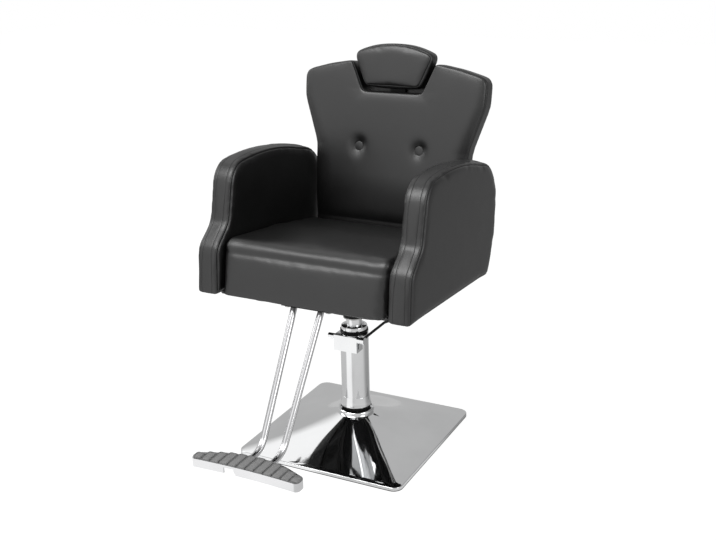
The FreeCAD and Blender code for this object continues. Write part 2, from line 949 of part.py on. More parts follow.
def arm_bolt_bars(radius):
    """Bolts that run level from the core of each arm into the edge of the board."""
    near = seat_clear_width / 2 - arm_bolt_bite
    far = arm_inner_x() + arm_panel_recess + arm_panel_thickness + arm_bolt_bite / 2
    bars = []
    for side in (-1, 1):
        for y in (-arm_bolt_front, arm_bolt_back):
            bars.append(rod(radius, vector(side * near, y, board_thickness / 2),
                            vector(side * far, y, board_thickness / 2)))
    return Part.makeCompound(bars)


def arm_bolt_heads(gap):
    near = arm_inner_x() + arm_panel_recess + arm_panel_thickness + arm_bolt_bite / 2
    far = near + arm_bolt_head_height + gap
    heads = []
    for side in (-1, 1):
        for y in (-arm_bolt_front, arm_bolt_back):
            heads.append(rod(arm_bolt_head + gap, vector(side * near, y, board_thickness / 2),
                             vector(side * far, y, board_thickness / 2)))
    return Part.makeCompound(heads)


def arm_bolts():
    bolts = []
    heads = arm_bolt_heads(0).Solids
    for index, bar in enumerate(arm_bolt_bars(arm_bolt_radius).Solids):
        bolts.append(bar.fuse(heads[index]).removeSplitter())
    return in_seat(Part.makeCompound(bolts))


# Back.

def notch_low():
    return headrest_foot - notch_low_gap


def back_face():
    corners = [(back_side, back_foot, back_foot_round), (back_side, back_waist, back_waist_round)]
    for along, up, radius in back_wing_shares:
        corners.append((along * back_half_width, up * back_height, radius * back_half_width))
    corners.append((notch_half_width, back_height, notch_lip_round))
    corners.append((headrest_low_half + notch_side_gap, notch_low(), notch_round))
    return rounded_face(mirrored(corners), on_front)


def back_layer(inset, depth_near, depth_far):
    """A slice of the back between two depths, drawn in by inset."""
    return inset_prism(back_face(), inset, vector(0, depth_near, 0), vector(0, depth_far - depth_near, 0))


def button_sites():
    return (-button_spacing / 2, button_spacing / 2)


def back_cushion():
    body = crowned(back_layer(0, 0, back_cushion_depth), 0, back_crown, back_half_width)
    front_edges = edges_where(body, lambda p: p.y < back_crown + face_gap and p.z > back_foot + face_gap)
    body = body.makeFillet(back_front_round, front_edges)
    ball = (dimple_radius ** 2 + dimple_depth ** 2) / (2 * dimple_depth)
    for x in button_sites():
        body = body.cut(Part.makeSphere(ball, vector(x, dimple_depth - ball, button_height)))
        button_room = rod(button_radius + face_gap, vector(x, 0, button_height),
                          vector(x, dimple_depth + face_gap, button_height))
        cord_room = rod(button_cord_radius + face_gap, vector(x, 0, button_height),
                        vector(x, back_cushion_depth + overrun, button_height))
        body = body.cut(button_room).cut(cord_room)
    return in_back(body)


def back_buttons():
    buttons = []
    for x in button_sites():
        front = dimple_depth - button_thickness
        head = rod(button_radius, vector(x, front, button_height), vector(x, dimple_depth, button_height))
        head = head.makeFillet(button_dome, edges_where(head, lambda p: abs(p.y - front) < face_gap))
        cord = rod(button_cord_radius, vector(x, dimple_depth, button_height),
                   vector(x, back_cushion_depth, button_height))
        buttons.append(head.fuse(cord))
    return in_back(Part.makeCompound(buttons))


def guide_room(gap):
    """Channel in the back board for the guide of the headrest bar."""
    half = bar_width / 2 + bar_gap + guide_wall + gap
    near = back_cushion_depth - overrun
    far = back_cushion_depth + back_board_depth + overrun
    return box((-half, half), (near, far), (guide_low - gap, notch_low() + overrun))


def back_board():
    near = back_cushion_depth
    far = near + back_board_depth
    body = back_layer(back_board_inset, near, far)
    fill = box((-back_side + back_board_inset, back_side - back_board_inset), (near, far),
               (back_foot + face_gap, back_foot + back_board_inset * 3))
    body = body.fuse(fill).removeSplitter()
    body = body.cut(guide_room(0)).cut(leg_screw_bars(back_leg_screw_radius + bolt_gap))
    return in_back(body)


def back_edge_band():
    """Strip of cover that closes the edge between the front and the rear."""
    near = back_cushion_depth
    far = near + back_board_depth
    body = back_layer(0, near, far).cut(back_layer(back_board_inset, near - overrun, far + overrun))
    reach = back_half_width * 2
    body = body.cut(box((-reach, reach), (near - overrun, far + overrun),
                        (back_foot - overrun, back_foot + back_board_inset * 3)))
    slot = bar_width / 2 + bar_gap * 2
    body = body.cut(box((-slot, slot), (near - overrun, far + overrun),
                        (notch_low() - back_board_inset * 2, notch_low() + overrun)))
    return in_back(body)


def back_rear_panel():
    near = back_cushion_depth + back_board_depth
    far = near + back_rear_depth
    body = back_layer(0, near, far)
    rear_edges = edges_where(body, lambda p: abs(p.y - far) < face_gap and p.z > back_foot + face_gap)
    body = body.makeFillet(back_rear_round, rear_edges)
    return in_back(body.cut(back_leg_blocks(face_gap)))


def guide_high():
    return notch_low() - back_board_inset * 2


def headrest_guide():
    """Flat sleeve in the back board that the headrest bar slides in."""
    outer = bar_width / 2 + bar_gap + guide_wall
    inner = bar_width / 2 + bar_gap
    near, far = bar_depths()
    high = guide_high()
    body = box((-outer, outer), (near - bar_gap - guide_wall, far + bar_gap + guide_wall), (guide_low, high))
    return in_back(body.cut(box((-inner, inner), (near - bar_gap, far + bar_gap),
                                (guide_low - overrun, high + overrun))))


def back_ear_x():
    return seat_ear_inner - back_ear_gap


def back_leg_blocks(gap):
    """Flat leg of each back bracket, on the rear of the board."""
    near = back_cushion_depth + back_board_depth
    blocks = []
    for side in (-1, 1):
        limits = sorted((side * (back_ear_x() + gap), side * (back_ear_x() - back_leg_width - gap)))
        blocks.append(box(limits, (near, near + back_leg_thickness + gap),
                          (back_foot - back_ear_round, back_leg_top + gap)))
    return Part.makeCompound(blocks)


def leg_screw_sites():
    x = back_ear_x() - back_leg_screw_inset_x
    top = back_leg_top - back_leg_screw_inset_z
    return [(side * x, z) for side in (-1, 1) for z in (top, top - back_leg_screw_spacing)]


def leg_screw_bars(radius):
    near = back_cushion_depth
    far = near + back_board_depth + back_leg_thickness
    bars = [rod(radius, vector(x, near, z), vector(x, far, z)) for x, z in leg_screw_sites()]
    return Part.makeCompound(bars)


def back_bracket(side):
    """Angle bracket: a flat leg behind the board and an ear down to the pivot."""
    depth, height = seat_to_back(pivot_y, pivot_z)
    rear = back_cushion_depth + back_board_depth + back_leg_thickness
    corners = [
        (depth - back_ear_round, height - back_ear_round, back_ear_corner),
        (depth + back_ear_round, height - back_ear_round, back_ear_corner),
        (rear, back_foot - back_ear_round / 2, 0),
        (rear, back_foot - face_gap, 0),
        (depth - back_ear_round, back_foot - face_gap, face_gap),
    ]
    ear = prism(corners, on_side, vector(back_ear_thickness, 0, 0))
    ear.translate(vector(back_ear_x() - back_ear_thickness, 0, 0))
    leg = back_leg_blocks(0).Solids[1]
    body = ear.fuse(leg).removeSplitter()
    body = body.cut(rod(pivot_pin_radius, vector(0, depth, height),
                        vector(seat_ear_inner * 2, depth, height)))
    body = body.cut(leg_screw_bars(back_leg_screw_radius + bolt_gap))
    if side < 0:
        body = body.mirror(vector(0, 0, 0), vector(1, 0, 0))
    return in_back(body)


def bracket_screws():
    return in_back(leg_screw_bars(back_leg_screw_radius))


def cross_tube():
    """Tube between the two back brackets, on the pivot line."""
    half = back_ear_x() - back_ear_thickness
    outer = rod(cross_tube_radius, vector(-half, pivot_y, pivot_z), vector(half, pivot_y, pivot_z))
    inner = rod(cross_tube_radius - cross_tube_wall, vector(-half - overrun, pivot_y, pivot_z),
                vector(half + overrun, pivot_y, pivot_z))
    return in_seat(outer.cut(inner))


def spring_pin_place():
    """The lever hangs half the recline range behind the line under the pivot."""
    swing = math.radians(recline_range / 2)
    y = pivot_y + spring_lever_length * math.sin(swing)
    z = pivot_z - spring_lever_length * math.cos(swing)
    return y, z


def spring_line_z():
    """Height of the gas spring, midway in the small rise of the lever's pin."""
    swing = math.radians(recline_range / 2)
    return pivot_z - spring_lever_length * (1 + math.cos(swing)) / 2


def spring_lever():
    """Lever on the cross tube with the pin that pushes the gas spring."""
    y, z = spring_pin_place()
    half = spring_lever_width / 2
    near = spring_x - spring_lever_thickness / 2
    far = spring_x + spring_lever_thickness / 2
    big = rod(cross_tube_radius + spring_pin_radius, vector(near, pivot_y, pivot_z),
              vector(far, pivot_y, pivot_z))
    small = rod(half, vector(near, y, z), vector(far, y, z))
    arm = box((near, far), (-half, half), (-spring_lever_length, 0))
    arm.rotate(vector(0, 0, 0), vector(1, 0, 0), recline_range / 2)
    arm.translate(vector(0, pivot_y, pivot_z))
    body = big.fuse([small, arm]).removeSplitter()
    body = body.cut(rod(cross_tube_radius, vector(near - overrun, pivot_y, pivot_z),
                        vector(far + overrun, pivot_y, pivot_z)))
    pin = rod(spring_pin_radius, vector(spring_x - spring_pin_half, y, z),
              vector(spring_x + spring_pin_half, y, z))
    return in_seat(body.fuse(pin).removeSplitter())


def hinge_bracket(side):
    """Angle bracket on the seat board that carries the pivot pin."""
    near = seat_ear_inner
    far = near + seat_ear_thickness
    rest = board_thickness
    corners = [
        (pivot_y - seat_ear_front, rest, 0),
        (board_rear, rest, 0),
        (pivot_y + seat_ear_round, pivot_z - seat_ear_round / 2, seat_ear_low_corner),
        (pivot_y + seat_ear_round, pivot_z + seat_ear_round, seat_ear_corner),
        (pivot_y - seat_ear_round, pivot_z + seat_ear_round, seat_ear_corner),
    ]
    ear = prism(corners, on_side, vector(far - near, 0, 0))
    ear.translate(vector(near, 0, 0))
    foot = box((near, near + seat_ear_foot_width), (pivot_y - seat_ear_front, board_rear),
               (rest, rest + seat_ear_thickness))
    body = ear.fuse(foot).removeSplitter()
    body = body.cut(rod(pivot_pin_radius + running_gap, vector(0, pivot_y, pivot_z),
                        vector(far * 2, pivot_y, pivot_z)))
    if side < 0:
        body = body.mirror(vector(0, 0, 0), vector(1, 0, 0))
    return in_seat(body)


def pivot_pin(side):
    """Pin pressed in the back bracket, with its head outside the seat bracket."""
    inner = back_ear_x() - back_ear_thickness
    outer = seat_ear_inner + seat_ear_thickness + face_gap
    bar = rod(pivot_pin_radius, vector(side * inner, pivot_y, pivot_z),
              vector(side * outer, pivot_y, pivot_z))
    head = rod(pivot_pin_head, vector(side * outer, pivot_y, pivot_z),
               vector(side * (outer + pivot_pin_head_length), pivot_y, pivot_z))
    return in_seat(bar.fuse(head).removeSplitter())


# Gas spring.

def spring_cylinder():
    z = spring_line_z()
    outer = rod(spring_radius, vector(spring_x, -spring_front, z), vector(spring_x, spring_rear, z))
    inner = rod(spring_radius - spring_wall, vector(spring_x, -spring_front + spring_cap, z),
                vector(spring_x, spring_rear - spring_cap, z))
    mouth = rod(spring_rod_radius + running_gap, vector(spring_x, 0, z),
                vector(spring_x, spring_rear + overrun, z))
    return in_seat(outer.cut(inner).cut(mouth))


def spring_travel():
    return 2 * spring_lever_length * math.sin(math.radians(recline_range / 2))


def spring_rod():
    z = spring_line_z()
    y = spring_pin_place()[0]
    start = -spring_front + spring_cap + spring_travel() + overrun
    return in_seat(rod(spring_rod_radius, vector(spring_x, start, z), vector(spring_x, y - yoke_front, z)))


def spring_yoke():
    """Fork whose upright slots let the lever's pin rise and fall."""
    z = spring_line_z()
    y = spring_pin_place()[0]
    inner = spring_lever_thickness / 2 + yoke_gap
    outer = inner + yoke_ear_thickness
    half_height = yoke_height / 2
    body = box((spring_x - outer, spring_x + outer), (y - yoke_front - yoke_ear_thickness, y + yoke_rear),
               (z - half_height, z + half_height))
    body = body.cut(box((spring_x - inner, spring_x + inner), (y - yoke_front, y + yoke_rear + overrun),
                        (z - yoke_height, z + yoke_height)))
    slot_half = spring_pin_radius + yoke_slot_gap
    slot_height = spring_pin_radius + yoke_slot_travel
    body = body.cut(box((spring_x - outer - overrun, spring_x + outer + overrun),
                        (y - slot_half, y + slot_half), (z - slot_height, z + slot_height)))
    rod_bore = rod(spring_rod_radius, vector(spring_x, y - yoke_front * 2, z),
                   vector(spring_x, y - yoke_front, z))
    return in_seat(body.cut(rod_bore))


# Release lever.

def release_brackets():
    """Ears under the board that hold the shaft of the release lever."""
    ears = []
    half = release_ear_half
    for x in release_ear_x:
        ear = box((-x - release_ear_thickness / 2, -x + release_ear_thickness / 2),
                  (release_y - half, release_y + half), (-release_z - half, 0))
        ears.append(ear.cut(rod(release_radius + running_gap, vector(-x - half, release_y, -release_z),
                                vector(-x + half, release_y, -release_z))))
    return in_seat(Part.makeCompound(ears))


def release_lever():
    """Shaft with two collars and a flat paddle beside the arm."""
    body = rod(release_radius, vector(-release_inner, release_y, -release_z),
               vector(-release_outer, release_y, -release_z))
    gap = release_ear_thickness / 2 + face_gap
    for start in (-release_ear_x[0] + gap, -release_ear_x[1] - gap - release_collar_width):
        body = body.fuse(rod(release_collar_radius, vector(start, release_y, -release_z),
                             vector(start + release_collar_width, release_y, -release_z)))
    half = release_paddle_height / 2
    paddle = box((-release_outer, -release_outer + release_paddle_width),
                 (release_y + half - release_paddle_length, release_y + half),
                 (-release_z - half, -release_z + half))
    return in_seat(body.fuse(paddle).removeSplitter())


def release_grip():
    half = release_paddle_height / 2
    front = release_y + half - release_paddle_length
    wall = release_grip_wall
    body = box((-release_outer - wall, -release_outer + release_paddle_width + wall),
               (front - wall, front + release_grip_length),
               (-release_z - half - wall, -release_z + half + wall))
    room = box((-release_outer, -release_outer + release_paddle_width),
               (front, front + release_paddle_length), (-release_z - half, -release_z + half))
    return in_seat(body.cut(room))


# Headrest.

def headrest_face():
    """The arc over the crest takes headrest_crest_share of the run from the shoulder."""
    run = math.hypot(headrest_half, headrest_arch)
    crest_round = headrest_crest_share * run * headrest_half / headrest_arch
    corners = [
        (headrest_low_half, headrest_foot, headrest_foot_round),
        (headrest_half, headrest_shoulder, headrest_shoulder_round),
        (0, headrest_shoulder + headrest_arch, crest_round),
    ]
    return rounded_face(mirrored(corners), on_front)


def headrest_cushion():
    body = inset_prism(headrest_face(), 0, vector(0, -headrest_front, 0),
                       vector(0, headrest_depth + headrest_front, 0))
    body = crowned(body, -headrest_front, headrest_crown, headrest_half)
    front_edges = edges_where(body, lambda p: p.y < headrest_crown)
    return in_back(body.makeFillet(headrest_round, front_edges))


def headrest_board():
    near = headrest_depth
    body = inset_prism(headrest_face(), headrest_board_inset, vector(0, near, 0),
                       vector(0, headrest_board_depth, 0))
    bar_near, bar_far = bar_depths()
    half = bar_width / 2
    body = body.cut(box((-half, half), (bar_near, bar_far + overrun), (bar_low(), bar_high)))
    return in_back(body.cut(bar_screw_bars(bar_screw_radius + bolt_gap)))


def bar_depths():
    """Depths of the near and far faces of the headrest bar."""
    middle = back_cushion_depth + back_board_depth / 2
    return middle - bar_thickness / 2, middle + bar_thickness / 2


def bar_low():
    """The foot of the bar stays bar_grip deep in the guide when the headrest is up."""
    return guide_high() - headrest_travel - bar_grip


def bar_screw_bars(radius):
    far = bar_depths()[1]
    top = bar_high - bar_screw_inset
    bars = []
    for z in (top, top - bar_screw_spacing):
        bars.append(rod(radius, vector(0, headrest_depth, z), vector(0, far, z)))
    return Part.makeCompound(bars)


def headrest_bar():
    near, far = bar_depths()
    half = bar_width / 2
    body = box((-half, half), (near, far), (bar_low(), bar_high))
    return in_back(body.cut(bar_screw_bars(bar_screw_radius + bolt_gap)))


def bar_screws():
    return in_back(bar_screw_bars(bar_screw_radius))


# Footrest.

def foot_plate():
    body = box((-foot_plate_half, foot_plate_half), (-foot_plate_front, -foot_plate_rear),
               (-foot_plate_thickness, 0))
    return in_seat(body.cut(board_bolt_bars(mount_bolt_radius + bolt_gap)))


def foot_tube(side):
    top = in_seat(Part.Vertex(side * foot_tube_top_x, -foot_tube_top_y, foot_tube_top_z)).Point
    path = [
        top,
        vector(side * foot_tube_knee_x, -foot_tube_knee_y, foot_tube_low_z),
        vector(side * foot_tube_end_x, -foot_tube_end_y, foot_tube_low_z),
    ]
    body = bent_bar(path, foot_tube_bend, foot_tube_radius)
    body = body.cut(bent_bar(path, foot_tube_bend, foot_tube_radius - foot_tube_wall))
    plate_room = in_seat(box((-seat_clear_width, seat_clear_width), (-apron_foot, apron_foot),
                             (-foot_plate_thickness, base_side)))
    return body.cut(plate_room)


def tray_face():
    corners = []
    for along, back, radius in tray_outline_shares:
        corners.append((along * tray_half_width, back * tray_depth - tray_front, radius * tray_depth))
    return rounded_face(mirrored(corners), on_plan)


def foot_tray():
    """Cast tray: a top plate with a rim, open below, with gaps where the tubes enter."""
    body = inset_prism(tray_face(), 0, vector(0, 0, tray_bottom), vector(0, 0, tray_top - tray_bottom))
    room_top = foot_tube_low_z + foot_tube_radius
    room = inset_prism(tray_face(), tray_wall, vector(0, 0, tray_bottom - overrun),
                       vector(0, 0, room_top - tray_bottom + overrun))
    pad_room = inset_prism(tray_face(), foot_pad_inset, vector(0, 0, tray_top - foot_pad_sink),
                           vector(0, 0, foot_pad_sink + overrun))
    body = body.cut(room).cut(pad_room)
    front = -tray_front
    notch_depth = tray_hollow_share * tray_depth + tray_wall
    body = body.cut(box(tray_notch_x, (front - overrun, front + notch_depth),
                        (tray_bottom - overrun, tray_top - foot_pad_sink - tray_floor)))
    for side in (-1, 1):
        body = body.cut(foot_tube_room(side))
    return body


def foot_tube_room(side):
    start = vector(side * foot_tube_knee_x, -foot_tube_knee_y, foot_tube_low_z)
    end = vector(side * foot_tube_end_x, -foot_tube_end_y, foot_tube_low_z)
    bore = rod(foot_tube_radius, start, end)
    width = foot_tube_radius + overrun / 2
    below = box((side * foot_tube_end_x - width, side * foot_tube_end_x + width),
                (-foot_tube_end_y, -foot_tube_knee_y), (tray_bottom - overrun, foot_tube_low_z))
    return bore.fuse(below)


def foot_pad():
    low = tray_top - foot_pad_sink
    body = inset_prism(tray_face(), foot_pad_inset + face_gap, vector(0, 0, low),
                       vector(0, 0, foot_pad_thickness))
    pitch = 2 * tray_half_width / (foot_pad_groove_count + 1)
    top = low + foot_pad_thickness
    grooves = []
    for index in range(foot_pad_groove_count):
        x = -tray_half_width + pitch * (index + 1)
        grooves.append(box((x - foot_pad_groove_width / 2, x + foot_pad_groove_width / 2),
                           (-tray_front - overrun, 0), (top - foot_pad_groove_depth, top + overrun)))
    return body.cut(Part.makeCompound(grooves))


sides = (("left", 1), ("right", -1))


def pair(make):
    """The two solids of a piece that is repeated on both sides."""
    return Part.makeCompound([make(side) for name, side in sides])


nodes = {
    "base_pad": base_pad(),
    "base_plate": base_plate(),
    "base_cover": base_cover(),
    "neck_ring": neck_ring(),
    "pump_flange": pump_flange(),
    "flange_bolts": flange_bolts(),
    "pump_column": pump_column(),
    "column_collar": column_collar(),
    "pressure_cylinder": pressure_cylinder(),
    "column_cap": column_cap(),
    "wiper_seal": wiper_seal(),
    "pump_head": pump_head(),
    "lever_axle": lever_axle(),
    "lever_hub": lever_hub(),
    "lever_rod": lever_rod(),
    "pedal_plate": pedal_plate(),
    "pedal_rubber": pedal_rubber_pad(),
    "ram_rod": ram_rod(),
    "piston": piston(),
    "piston_seal": piston_seal(),
    "thrust_washer": thrust_washer(),
    "seat_socket": seat_socket(),
    "mount_plate": mount_plate(),
    "board_bolts": board_bolts(),
    "seat_board": seat_board(),
    "dust_cover": dust_cover(),
    "seat_cushion": seat_cushion(),
    "arm_bolts": arm_bolts(),
    "arm_cores": pair(arm_core),
    "arm_inner_panels": pair(arm_inner_panel),
    "arm_outer_panels": pair(arm_outer_panel),
    "hinge_brackets": pair(hinge_bracket),
    "back_brackets": pair(back_bracket),
    "pivot_pins": pair(pivot_pin),
    "bracket_screws": bracket_screws(),
    "cross_tube": cross_tube(),
    "back_cushion": back_cushion(),
    "back_buttons": back_buttons(),
    "back_board": back_board(),
    "back_edge_band": back_edge_band(),
    "back_rear_panel": back_rear_panel(),
    "headrest_guide": headrest_guide(),
    "headrest_cushion": headrest_cushion(),
    "headrest_board": headrest_board(),
    "headrest_bar": headrest_bar(),
    "bar_screws": bar_screws(),
    "spring_lever": spring_lever(),
    "spring_cylinder": spring_cylinder(),
    "spring_rod": spring_rod(),
    "spring_yoke": spring_yoke(),
    "release_brackets": release_brackets(),
    "release_lever": release_lever(),
    "release_grip": release_grip(),
    "foot_plate": foot_plate(),
    "foot_tubes": pair(foot_tube),
    "foot_tray": foot_tray(),
    "foot_pad": foot_pad(),
}
for name, side in sides:
    nodes["arm_band_" + name] = arm_band(side)

os.makedirs("parts", exist_ok=True)
for node, shape in nodes.items():
    shape.exportStep("parts/" + node + ".step")
    print(node, len(shape.Solids), round(shape.Volume), shape.isValid())
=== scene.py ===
import math
import bpy
import numpy as np
from mathutils import Matrix, Vector


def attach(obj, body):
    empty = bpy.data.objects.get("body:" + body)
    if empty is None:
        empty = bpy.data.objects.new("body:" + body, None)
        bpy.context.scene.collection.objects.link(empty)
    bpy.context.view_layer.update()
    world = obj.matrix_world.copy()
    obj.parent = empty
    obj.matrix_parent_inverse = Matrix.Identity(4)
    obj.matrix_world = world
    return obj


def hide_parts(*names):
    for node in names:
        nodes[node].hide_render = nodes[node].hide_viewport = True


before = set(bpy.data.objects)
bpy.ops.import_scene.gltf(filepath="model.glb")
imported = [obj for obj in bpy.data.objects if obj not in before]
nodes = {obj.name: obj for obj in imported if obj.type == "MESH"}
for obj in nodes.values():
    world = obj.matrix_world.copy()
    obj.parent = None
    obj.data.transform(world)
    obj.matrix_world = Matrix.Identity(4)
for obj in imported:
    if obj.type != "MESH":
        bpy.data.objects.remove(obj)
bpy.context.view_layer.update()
mm = 0.001

# Camera: at standing eye height, in front of the chair and to the sitter's left, looking down at
# it. It leans over a little, as the photograph does.
camera_place = (1.1502, -2.1748, 1.3087)
camera_azimuth = math.radians(27.568)
camera_drop = math.radians(19.205)
camera_roll = math.radians(-1.405)
focal_length_px = 1051.57
photo_width_px = 716
sensor_width = 36.0

bpy.ops.object.camera_add(location=camera_place)
camera = bpy.context.object
camera.data.sensor_width = sensor_width
camera.data.lens = focal_length_px * sensor_width / photo_width_px
view_back = Vector((
    math.sin(camera_azimuth) * math.cos(camera_drop),
    -math.cos(camera_azimuth) * math.cos(camera_drop),
    math.sin(camera_drop),
))
view_right = (-view_back).cross(Vector((0, 0, 1))).normalized()
view_up = view_right.cross(-view_back)
leaned_right = math.cos(camera_roll) * view_right + math.sin(camera_roll) * view_up
leaned_up = math.cos(camera_roll) * view_up - math.sin(camera_roll) * view_right
camera.matrix_world = Matrix.Translation(camera_place) @ Matrix(
    (leaned_right, leaned_up, view_back)).transposed().to_4x4()
bpy.context.scene.camera = camera
bpy.context.scene.view_settings.view_transform = "Standard"


# Studio: a white paper floor that runs into white surroundings, with three soft lamps. What
# shines sees a bright window in front, a greyer wall round to the sitter's left, a dull corner
# after that, and a plain grey wall behind with a skylight high up in it.
floor_size = 16.0
floor_level = -0.6 * mm
floor_white = (0.80, 0.80, 0.80, 1)
paper_white = (1.0, 1.0, 1.0, 1)
floor_shadow_share = 0.22
floor_seen_level = 1.15
surround_light = 0.62
# how bright each wall looks, and the angles round the chair where it starts and ends
window_level = 1.12
front_level = 0.62
dull_level = 0.26
rear_level = 0.5
floor_rear_level = 0.52
skylight_level = 1.1
window_from = math.radians(-45)
window_to = math.radians(0)
front_to = math.radians(105)
dull_to = math.radians(165)
skylight_from = math.radians(-142)
skylight_to = math.radians(-108)
skylight_low = math.sin(math.radians(18))
skylight_high = math.sin(math.radians(50))
wall_blend = math.radians(6)


class Tone:
    """One value inside a material. Adding, multiplying and so on adds the Math node for it."""

    def __init__(self, tree, socket=None):
        self.tree = tree
        self.socket = socket

    def node(self, kind, settings=None, inputs=None, output=0):
        """Adds a node with its settings, then its inputs as values or tones; gives one output."""
        made = self.tree.nodes.new(kind)
        for name, value in (settings or {}).items():
            setattr(made, name, value)
        for name, value in (inputs or {}).items():
            if isinstance(value, Tone):
                self.tree.links.new(value.socket, made.inputs[name])
            else:
                made.inputs[name].default_value = value
        return Tone(self.tree, made.outputs[output])

    def math(self, operation, first, second=0.0):
        return self.node("ShaderNodeMath", {"operation": operation}, {0: first, 1: second})

    def __add__(self, other):
        return self.math("ADD", self, other)

    def __sub__(self, other):
        return self.math("SUBTRACT", self, other)

    def __mul__(self, other):
        return self.math("MULTIPLY", self, other)

    def __rsub__(self, other):
        return self.math("SUBTRACT", other, self)

    __radd__ = __add__
    __rmul__ = __mul__

    def absolute(self):
        return self.math("ABSOLUTE", self)

    def larger(self, other):
        return self.math("MAXIMUM", self, other)

    def smaller(self, other):
        return self.math("MINIMUM", self, other)

    def sine(self):
        return self.math("SINE", self)

    def rise(self, low, high):
        """0 below low, 1 above high and a smooth step between."""
        return self.node("ShaderNodeMapRange", {"interpolation_type": "SMOOTHSTEP"},
                         {"Value": self, "From Min": low, "From Max": high})

    def past(self, place, blend):
        """0 before a place and 1 after it, with a smooth step of one blend on each side."""
        return self.rise(place - blend, place + blend)

    def part(self, axis):
        """One coordinate, X, Y or Z, of a place."""
        return self.node("ShaderNodeSeparateXYZ", None, {0: self}, output=axis)

    def between(self, first, second):
        """A colour between two colours, with this value as the share of the second."""
        return self.node("ShaderNodeMix", {"data_type": "RGBA"},
                         {"Factor": self, 6: first, 7: second}, output=2)


def nothing_selected():
    """Leaves edit mode and deselects everything, so that the next operator acts on one piece."""
    if bpy.context.object and bpy.context.object.mode != "OBJECT":
        bpy.ops.object.mode_set(mode="OBJECT")
    bpy.ops.object.select_all(action="DESELECT")


def seen_directly(tone):
    """1 for what the camera, a mirror or a lens sees, and 0 for light that falls on matt things."""
    ways = [tone.node("ShaderNodeLightPath", output=name)
            for name in ("Is Camera Ray", "Is Glossy Ray", "Is Transmission Ray")]
    return ways[0].larger(ways[1]).larger(ways[2])


def turn_round(tone, place):
    """The angle of a place round the chair: 0 in front of it, rising towards the sitter's left."""
    return tone.math("ARCTAN2", place.part("X"), place.part("Y") * -1)


def studio_level(tone, place, behind, seen=1.0):
    """White for the camera, and the level of the walls round the chair for what reflects them."""
    turn = turn_round(tone, place)
    after = turn.past(window_from, wall_blend)
    window = 1 - turn.past(window_to, wall_blend)
    front = 1 - turn.past(front_to, 3 * wall_blend)
    dull = (1 - front) * after * (1 - turn.past(dull_to, wall_blend))
    walls = behind + after * (front * (front_level - behind) + window * (window_level - front_level))
    walls = walls + dull * (dull_level - behind)
    camera_ray = tone.node("ShaderNodeLightPath", output="Is Camera Ray")
    return camera_ray * seen + (1 - camera_ray) * walls


nothing_selected()
bpy.ops.mesh.primitive_grid_add(x_subdivisions=8, y_subdivisions=8, size=floor_size,
                                location=(0, 0, floor_level))
studio_floor = bpy.context.object
studio_floor.name = "studio_floor"
floor_paper = bpy.data.materials.new("white_paper_floor")
floor_paper.use_nodes = True
floor_tone = Tone(floor_paper.node_tree)
floor_tone.tree.nodes.remove(floor_tone.tree.nodes["Principled BSDF"])
lit_paper = floor_tone.node("ShaderNodeBsdfDiffuse", None, {"Color": floor_white})
floor_place = floor_tone.node("ShaderNodeTexCoord", output="Object")
floor_strength = studio_level(floor_tone, floor_place, floor_rear_level, floor_seen_level)
bright_paper = floor_tone.node("ShaderNodeEmission", None,
                               {"Color": paper_white, "Strength": floor_strength})
seen_paper = seen_directly(floor_tone) * (1 - floor_shadow_share)
floor_mix = floor_tone.node("ShaderNodeMixShader", None,
                            {0: seen_paper, 1: lit_paper, 2: bright_paper})
floor_surface = floor_tone.tree.nodes["Material Output"].inputs["Surface"]
floor_tone.tree.links.new(floor_mix.socket, floor_surface)
studio_floor.data.materials.append(floor_paper)

surroundings = bpy.data.worlds.new("white_studio")
surroundings.use_nodes = True
bpy.context.scene.world = surroundings
world_tone = Tone(surroundings.node_tree)
backdrop = world_tone.tree.nodes["Background"]
direction = world_tone.node("ShaderNodeTexCoord", output="Generated")
seen_world = seen_directly(world_tone)
# the skylight, which mostly the plated base shows
world_turn = turn_round(world_tone, direction)
skylight = direction.part("Z").rise(skylight_low, skylight_high)
skylight *= world_turn.past(skylight_from, wall_blend / 2)
skylight *= 1 - world_turn.past(skylight_to, wall_blend)
walls_seen = studio_level(world_tone, direction, rear_level)
walls_seen += skylight * (skylight_level - rear_level)
level = seen_world * walls_seen + (1 - seen_world) * surround_light
world_tone.tree.links.new(level.socket, backdrop.inputs["Strength"])
backdrop.inputs["Color"].default_value = paper_white

# name, place in metres, what it points at, width and height in metres, watts
soft_lamps = (
    ("lamp_above", (-0.5, -1.7, 2.9), (0, 0, 0.6), (2.2, 1.4), 52.0),
    ("lamp_right", (2.6, -0.8, 1.7), (0, 0, 0.6), (1.2, 1.8), 18.0),
    ("lamp_left", (-2.6, -0.6, 1.9), (0, 0, 0.5), (1.2, 1.8), 16.0),
)
for lamp_name, place, target, size, power in soft_lamps:
    bpy.ops.object.light_add(type="AREA", location=place)
    lamp = bpy.context.object
    lamp.name = lamp_name
    lamp.data.shape = "RECTANGLE"
    lamp.data.size = size[0]
    lamp.data.size_y = size[1]
    lamp.data.energy = power
    lamp.rotation_euler = (Vector(target) - Vector(place)).to_track_quat("-Z", "Y").to_euler()


# Base: a square steel sheet pressed into four hollow faces round a neck, chrome plated, with a
# rounded rim that stands on a rubber pad. An iron weight plate is hidden under it.
base_half = 225 * mm
base_corner = 24 * mm
rim_foot = 2 * mm
rim_top = 10 * mm
rim_round = 1.6 * mm
rim_edge = rim_top - rim_round * 1.2
mid_reach = 130 * mm
mid_height = 36 * mm
peak_reach = 28 * mm
peak_height = 76 * mm
neck_radius = 45 * mm
neck_top = 72 * mm
neck_bore = 38 * mm
neck_ease = (0.6 * mm, 1.5 * mm)
columns_round = 192
rows_up = 40
corner_gather = 1.8
merge_distance = 0.00001
chrome_colour = (0.86, 0.865, 0.87, 1)


